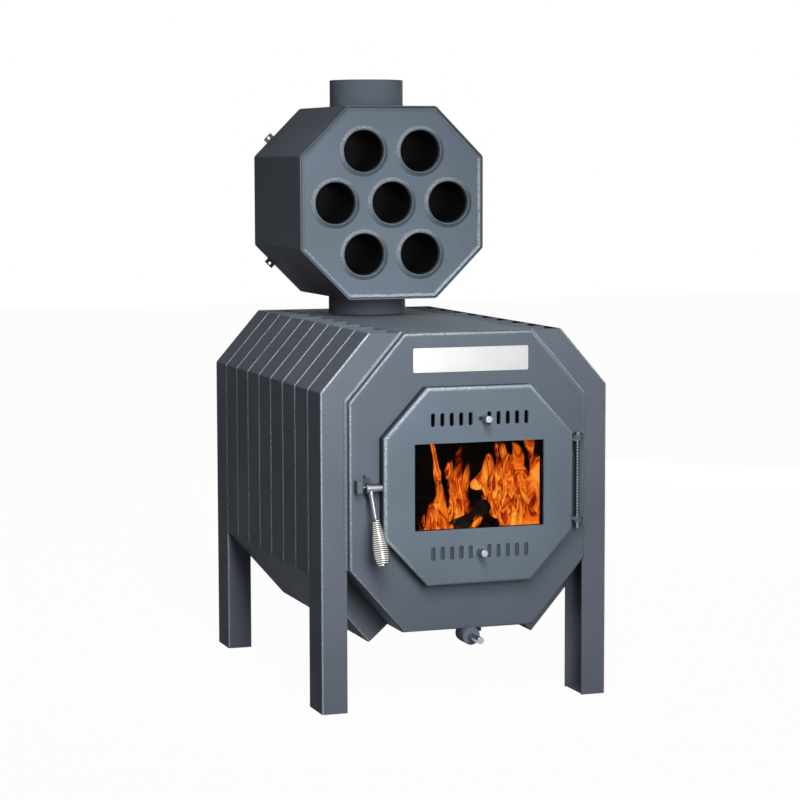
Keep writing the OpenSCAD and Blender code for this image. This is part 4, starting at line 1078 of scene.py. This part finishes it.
class STOVE_OT_hardware(bpy.types.Operator):
    """Finishes latch, hinge, knobs, spring, grip and air pipe"""

    bl_idname = "stove.hardware"
    bl_label = "Hardware"

    def execute(self, context):
        for node in (
                "latch_pivot", "glass_screws", "plate_hinge_ears", "door_hinge_ears", "primary_air_pipe"):
            dressed(node, 0.5 * MM)
        for node in ("latch_hub", "latch_lever", "hinge_pin"):
            dressed(node, 0.5 * MM, "blued_zinc")
        dressed("latch_catch", 0.4 * MM)
        dressed("air_valve_disc", 0.6 * MM)
        for node in ("upper_slide_knob", "lower_slide_knob", "air_valve_knob"):
            dressed(node, 0.35 * MM)
        self.spring()
        self.grip()
        return {"FINISHED"}

    def spring(self):
        """Hinge spring: a helix x = r cos, y = r sin of even pitch, with an upright end at each ear."""
        low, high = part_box("hinge_spring")
        wire, radius, turns, steps_a_turn, sides = 2 * MM, 4.5 * MM, 25, 28, 10
        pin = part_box("hinge_pin")
        centre = (pin[0] + pin[1]) / 2
        share = np.linspace(0, 1, turns * steps_a_turn + 1)
        turn = 2 * pi * turns * share
        bottom, top = low.z + wire * 1.35, high.z - wire * 1.35
        x, y = centre.x + radius * np.cos(turn), centre.y + radius * np.sin(turn)
        helix = np.column_stack([x, y, bottom + (top - bottom) * share])
        ends = [[centre.x + radius, centre.y, z] for z in (low.z, high.z)]
        path = np.vstack([ends[0], helix, ends[1]])
        core = np.column_stack([np.full(len(path), centre.x), np.full(len(path), centre.y), path[:, 2]])
        piece = wire_surface("hinge_spring_wire", path, (1, 0, 0), wire / 2, core, sides)
        stands_for(piece, "hinge_spring")

    def grip(self):
        """Wound grip: a helix whose radius swells like a pear and closes at the end.

        Up to s = 0.74 of its length the radius grows with sin to the power 1.3, and past it the radius
        falls along a quarter of an ellipse. The grip hangs leaning to the right and out from the door.
        """
        lean, out = radians(5), radians(15)
        way = np.array([sin(lean), -sin(out) * cos(lean), -cos(out) * cos(lean)])
        way /= np.linalg.norm(way)
        side = np.cross(way, [1, 0, 0])
        side /= np.linalg.norm(side)
        across = np.cross(side, way)
        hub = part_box("latch_hub")
        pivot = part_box("latch_pivot")
        lever_in, play = 8.4 * MM, 0.3 * MM
        root = np.array([hub[0].x + lever_in, (pivot[0].y + pivot[1].y) / 2, (pivot[0].z + pivot[1].z) / 2])
        wire, rod, turns, start, length = 3.2 * MM, 5 * MM, 21, 57 * MM, 88 * MM
        narrow, wide, swell, steps_a_turn = rod / 2 + play + wire, 14 * MM, 0.74, 36
        s = np.linspace(0, 1, turns * steps_a_turn + 1)
        rising = narrow + (wide - narrow) * np.sin(pi / 2 * np.minimum(s / swell, 1)) ** 1.3
        falling = narrow + (wide - narrow) * np.sqrt(np.clip(1 - ((s - swell) / (1 - swell)) ** 2, 0, 1))
        radius = np.where(s < swell, rising, falling)
        turn = 2 * pi * turns * s
        base = root + (start + wire + s * (length - 2 * wire))[:, None] * way
        helix = base + radius[:, None] * (np.cos(turn)[:, None] * side + np.sin(turn)[:, None] * across)
        ends = [base[i] + (rod / 2 + play) * side for i in (0, -1)]
        path, core = np.vstack([ends[0], helix, ends[1]]), np.vstack([base[0], base, base[-1]])
        piece = wire_surface("latch_grip_wire", path, way, wire / 2, core)
        stands_for(piece, "latch_grip")


class STOVE_OT_fire(bpy.types.Operator):
    """Lines the firebox, lays the logs and lights the fire behind the pane"""

    bl_idname = "stove.fire"
    bl_label = "Bricks and fire"

    def execute(self, context):
        dressed("fire_bricks", 1.2 * MM)
        painted("baffle_plate")
        painted("baffle_rails")
        self.flames(context.scene.stove_sizes)
        self.logs()
        return {"FINISHED"}

    def flames(self, sizes):
        """Tongues of flame: closed, flattened teardrops whose middle line winds as it rises.

        With t from 0 to 1 up a tongue, a turn u round it and a phase p of its own, the half width w is
        W (1 - t)^0.7 (0.4 + 0.6 sin(90 min(t / 0.3, 1))) (1 + 0.22 sin(11 t + p)), drawn in over the
        first 4% of t. A point lies w cos u across and w / 3 sin u behind a middle line, which wanders
        by 0.32 W t sin(7 t + p) across and 0.3 W t cos(6 t + p) in depth. The attribute "tongue" is
        (1 - |cos u|^1.6)^0.6 (1 - t^1.7) + 0.25. Deep tongues stand further right and lower, so that
        they fill the same shares of the pane from the camera's side.
        """
        sides, rows = 24, 44
        near_depth, depth_reach, right_a_depth, down_a_depth = 35 * MM, 160 * MM, 0.345, 0.12
        t = np.linspace(0, 1, rows)[:, None]
        turn = np.linspace(0, -2 * pi, sides, endpoint=False)[None, :]
        points, faces, bodies = [], [], []
        for number, (across, root, tip, width, lean, deep) in enumerate(TONGUES):
            phase = 2.4 * number
            depth = near_depth + depth_reach * deep
            left = DOOR_X - sizes.window_width / 2 + right_a_depth * depth
            low = DOOR_Z - sizes.window_height / 2 - down_a_depth * depth
            half = width * sizes.window_width / 2
            open_up = 0.4 + 0.6 * np.sin(pi / 2 * np.minimum(t / 0.3, 1))
            wide = half * np.maximum(1 - t, 0.0005) ** 0.7 * open_up * (1 + 0.22 * np.sin(11 * t + phase))
            wide = wide * np.clip(t / 0.04, 0.02, 1) ** 0.5
            middle = left + (across + lean * t) * sizes.window_width + 0.32 * half * t * np.sin(7 * t + phase)
            x = middle + wide * np.cos(turn)
            y = DOOR_LOW.y + depth + wide / 3 * np.sin(turn) + 0.3 * half * t * np.cos(6 * t + phase)
            z = low + (root + (tip - root) * t) * sizes.window_height + 0 * turn
            first = number * rows * sides
            points.append(np.stack([x, y, z], axis=-1).reshape(-1, 3))
            faces += grid_faces(rows, sides, False, first).tolist()
            faces.append(list(range(first, first + sides)))
            faces.append(list(range(first + (rows - 1) * sides, first + rows * sides))[::-1])
            edge = (1 - np.abs(np.cos(turn)) ** 1.6) ** 0.6
            bodies.append((edge * (1 - t ** 1.7) + 0.25).reshape(-1))
        piece = mesh_object(
            "flames", np.vstack(points), faces, 80, merge=False, marks={"tongue": np.concatenate(bodies)})
        piece.data.materials.append(finish("flame"))
        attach(piece, "stove")

    def logs(self):
        """Charred logs stacked on the bricks, the upper ones leaning on the lower.

        A log's radius is its own times 1 + 0.05 sin(5 u + 9 s) + 0.04 sin(26 s + 2 sin 3 u)
        + 0.03 sin(61 s) sin(8 u), with u round it and s along it, and it is drawn in at both ends.
        """
        # Ends and radius of each log in mm, from the channels' front edge
        places = (
            ((-105, 110, 222), (-95, 560, 224), 47), ((0, 100, 220), (12, 570, 222), 45),
            ((108, 120, 223), (100, 550, 221), 46), ((-52, 90, 296), (-40, 520, 292), 40),
            ((58, 95, 295), (50, 540, 297), 41), ((-128, 95, 300), (-118, 420, 298), 34),
            ((-44, 40, 303), (74, 84, 364), 15), ((24, 110, 344), (150, 190, 326), 24),
        )
        s = np.linspace(0, 1, 90)[:, None]
        turn = np.linspace(0, 2 * pi, 48, endpoint=False)[None, :]
        crack = 1 + 0.05 * np.sin(5 * turn + 9 * s) + 0.04 * np.sin(26 * s + 2 * np.sin(3 * turn))
        crack = crack + 0.03 * np.sin(61 * s) * np.sin(8 * turn)
        taper = np.clip(np.minimum(s, 1 - s) * 22, 0.02, 1) ** 0.35
        pieces = []
        for start, end, radius in places:
            a = np.array(start) * MM + (0, CHANNEL_Y, 0)
            b = np.array(end) * MM + (0, CHANNEL_Y, 0)
            way = (b - a) / np.linalg.norm(b - a)
            side = np.cross(way, [0, 0, 1.0])
            side /= np.linalg.norm(side)
            up = np.cross(side, way)
            r = (radius * MM * crack * taper)[..., None]
            centre = (a + (b - a) * s)[:, None, :]
            grid = centre + r * (np.cos(turn)[..., None] * side + np.sin(turn)[..., None] * up)
            pieces.append(surface("log", grid, caps=True, crease=60))
        whole = joined("burning_logs", pieces, 60)
        whole.data.materials.append(finish("char"))
        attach(whole, "stove")


class STOVE_OT_stage(bpy.types.Operator):
    """Sets the camera, the lamps, the white surround and the pale floor"""

    bl_idname = "stove.stage"
    bl_label = "Stage"

    def execute(self, context):
        scene = context.scene
        scene.view_settings.view_transform = "Standard"
        self.camera(scene)
        self.lamp("key", (0, 0, 0.6), 0, 8, 3.2, 1.2, 46, 180)
        self.lamp("near_left", (-0.3, -0.3, 0.8), 0, 20, 1.6, 0.6, 2.0, 60)
        self.lamp("upper_left", (-0.25, -0.3, 0.85), 14, 40, 2.3, 0.8, 3.5, 50)
        self.lamp("rear_right", (0, 0, 0.6), -140, 0, 3.4, 1.2, 44, 180)
        self.world(scene)
        self.floor(scene)
        return {"FINISHED"}

    def camera(self, scene):
        """Camera fitted to the corners of the photographed object."""
        data = bpy.data.cameras.new("camera")
        data.sensor_width = 36
        data.lens = 111.06
        camera = bpy.data.objects.new("camera", data)
        camera.location = (-1.59791, -4.59279, 1.02105)
        yaw, pitch, roll = radians(-19.03), radians(-5.64), radians(-0.15)
        turn = Euler((pi / 2 + pitch, 0, yaw), "XYZ").to_matrix() @ Matrix.Rotation(roll, 3, "Z")
        camera.rotation_euler = turn.to_euler()
        data.clip_end = 100
        scene.collection.objects.link(camera)
        scene.camera = camera

    def lamp(self, name, target, azimuth, elevation, distance, size, power, spread):
        """A cool white area lamp at an azimuth left of the front and an elevation, aimed at the target."""
        data = bpy.data.lights.new(name, "AREA")
        data.shape = "SQUARE"
        data.size = size
        data.spread = radians(spread)
        data.energy = power
        data.color = (0.97, 0.99, 1.0)
        lamp = bpy.data.objects.new(name, data)
        a, e = radians(azimuth), radians(elevation)
        back = Vector((-sin(a) * cos(e), -cos(a) * cos(e), sin(e)))
        lamp.location = Vector(target) + back * distance
        lamp.rotation_euler = back.to_track_quat("Z", "Y").to_euler()
        lamp.visible_camera = False
        bpy.context.scene.collection.objects.link(lamp)

    def seen_white(self, tree, share):
        """A share for the rays that see the surround (camera, glossy and transmission), and 0 for others."""
        path = tree.nodes.new("ShaderNodeLightPath").outputs
        glossy = maths(tree, "MAXIMUM", path["Is Camera Ray"], path["Is Glossy Ray"])
        return maths(tree, "MULTIPLY", maths(tree, "MAXIMUM", glossy, path["Is Transmission Ray"]), share)

    def mixed(self, tree, share, first, second, output):
        """Sends two shaders to an output, the second by a share."""
        mix = add_node(tree, "ShaderNodeMixShader", share, first.outputs[0], second.outputs[0])
        put(tree, output.inputs["Surface"], mix.outputs[0])

    def world(self, scene):
        """Pure white where it is seen, and a weak even light elsewhere."""
        world = bpy.data.worlds.new("surround")
        scene.world = world
        world.use_nodes = True
        tree = world.node_tree
        tree.nodes.clear()
        soft = add_node(tree, "ShaderNodeBackground", Color=(0.95, 0.97, 1.0, 1), Strength=0.03)
        white = add_node(tree, "ShaderNodeBackground", Color=(1, 1, 1, 1), Strength=1.0)
        self.mixed(tree, self.seen_white(tree, 1.0), soft, white, tree.nodes.new("ShaderNodeOutputWorld"))

    def floor(self, scene):
        """Pale floor that keeps a soft shadow."""
        reach, seen = 12.0, 0.975
        mesh = bpy.data.meshes.new("floor")
        corners = [(x * reach, y * reach, 0) for x, y in ((-1, -1), (1, -1), (1, 1), (-1, 1))]
        mesh.from_pydata(corners, [], [(0, 1, 2, 3)])
        floor = bpy.data.objects.new("floor", mesh)
        scene.collection.objects.link(floor)
        material, tree = new_material("floor")
        to_shader(tree, {"Base Color": (0.45, 0.45, 0.46, 1), "Roughness": 1.0, "Specular IOR Level": 0.0})
        white = add_node(tree, "ShaderNodeEmission", Color=(1, 1, 1, 1), Strength=1.0)
        self.mixed(
            tree, self.seen_white(tree, seen), tree.nodes["Principled BSDF"], white,
            tree.nodes["Material Output"])
        floor.data.materials.append(material)


class STOVE_PT_panel(bpy.types.Panel):
    """Lists the stove's steps and its sizes and colours"""

    bl_idname = "STOVE_PT_panel"
    bl_label = "Workshop stove"
    bl_space_type = "VIEW_3D"
    bl_region_type = "UI"
    bl_category = "Stove"

    def draw(self, context):
        for operator in STEPS:
            self.layout.operator(operator.bl_idname)
        for group in (context.scene.stove_sizes, context.scene.stove_colours):
            for name in group.__annotations__:
                self.layout.prop(group, name)


STEPS = (
    STOVE_OT_stage, STOVE_OT_channels, STOVE_OT_front, STOVE_OT_door, STOVE_OT_welds,
    STOVE_OT_exchanger, STOVE_OT_hardware, STOVE_OT_fire,
)
CLASSES = (StoveSizes, StoveColours, *STEPS, STOVE_PT_panel)


def register():
    """Registers the classes and puts the sizes and colours on the scene."""
    for entry in CLASSES:
        bpy.utils.register_class(entry)
    bpy.types.Scene.stove_sizes = PointerProperty(type=StoveSizes)
    bpy.types.Scene.stove_colours = PointerProperty(type=StoveColours)


def unregister():
    """Takes them off again."""
    del bpy.types.Scene.stove_colours
    del bpy.types.Scene.stove_sizes
    for entry in reversed(CLASSES):
        bpy.utils.unregister_class(entry)


def main():
    """Registers the classes and runs the steps in order."""
    register()
    for step in STEPS:
        group, name = step.bl_idname.split(".")
        getattr(getattr(bpy.ops, group), name)()


if __name__ == "__main__":
    main()
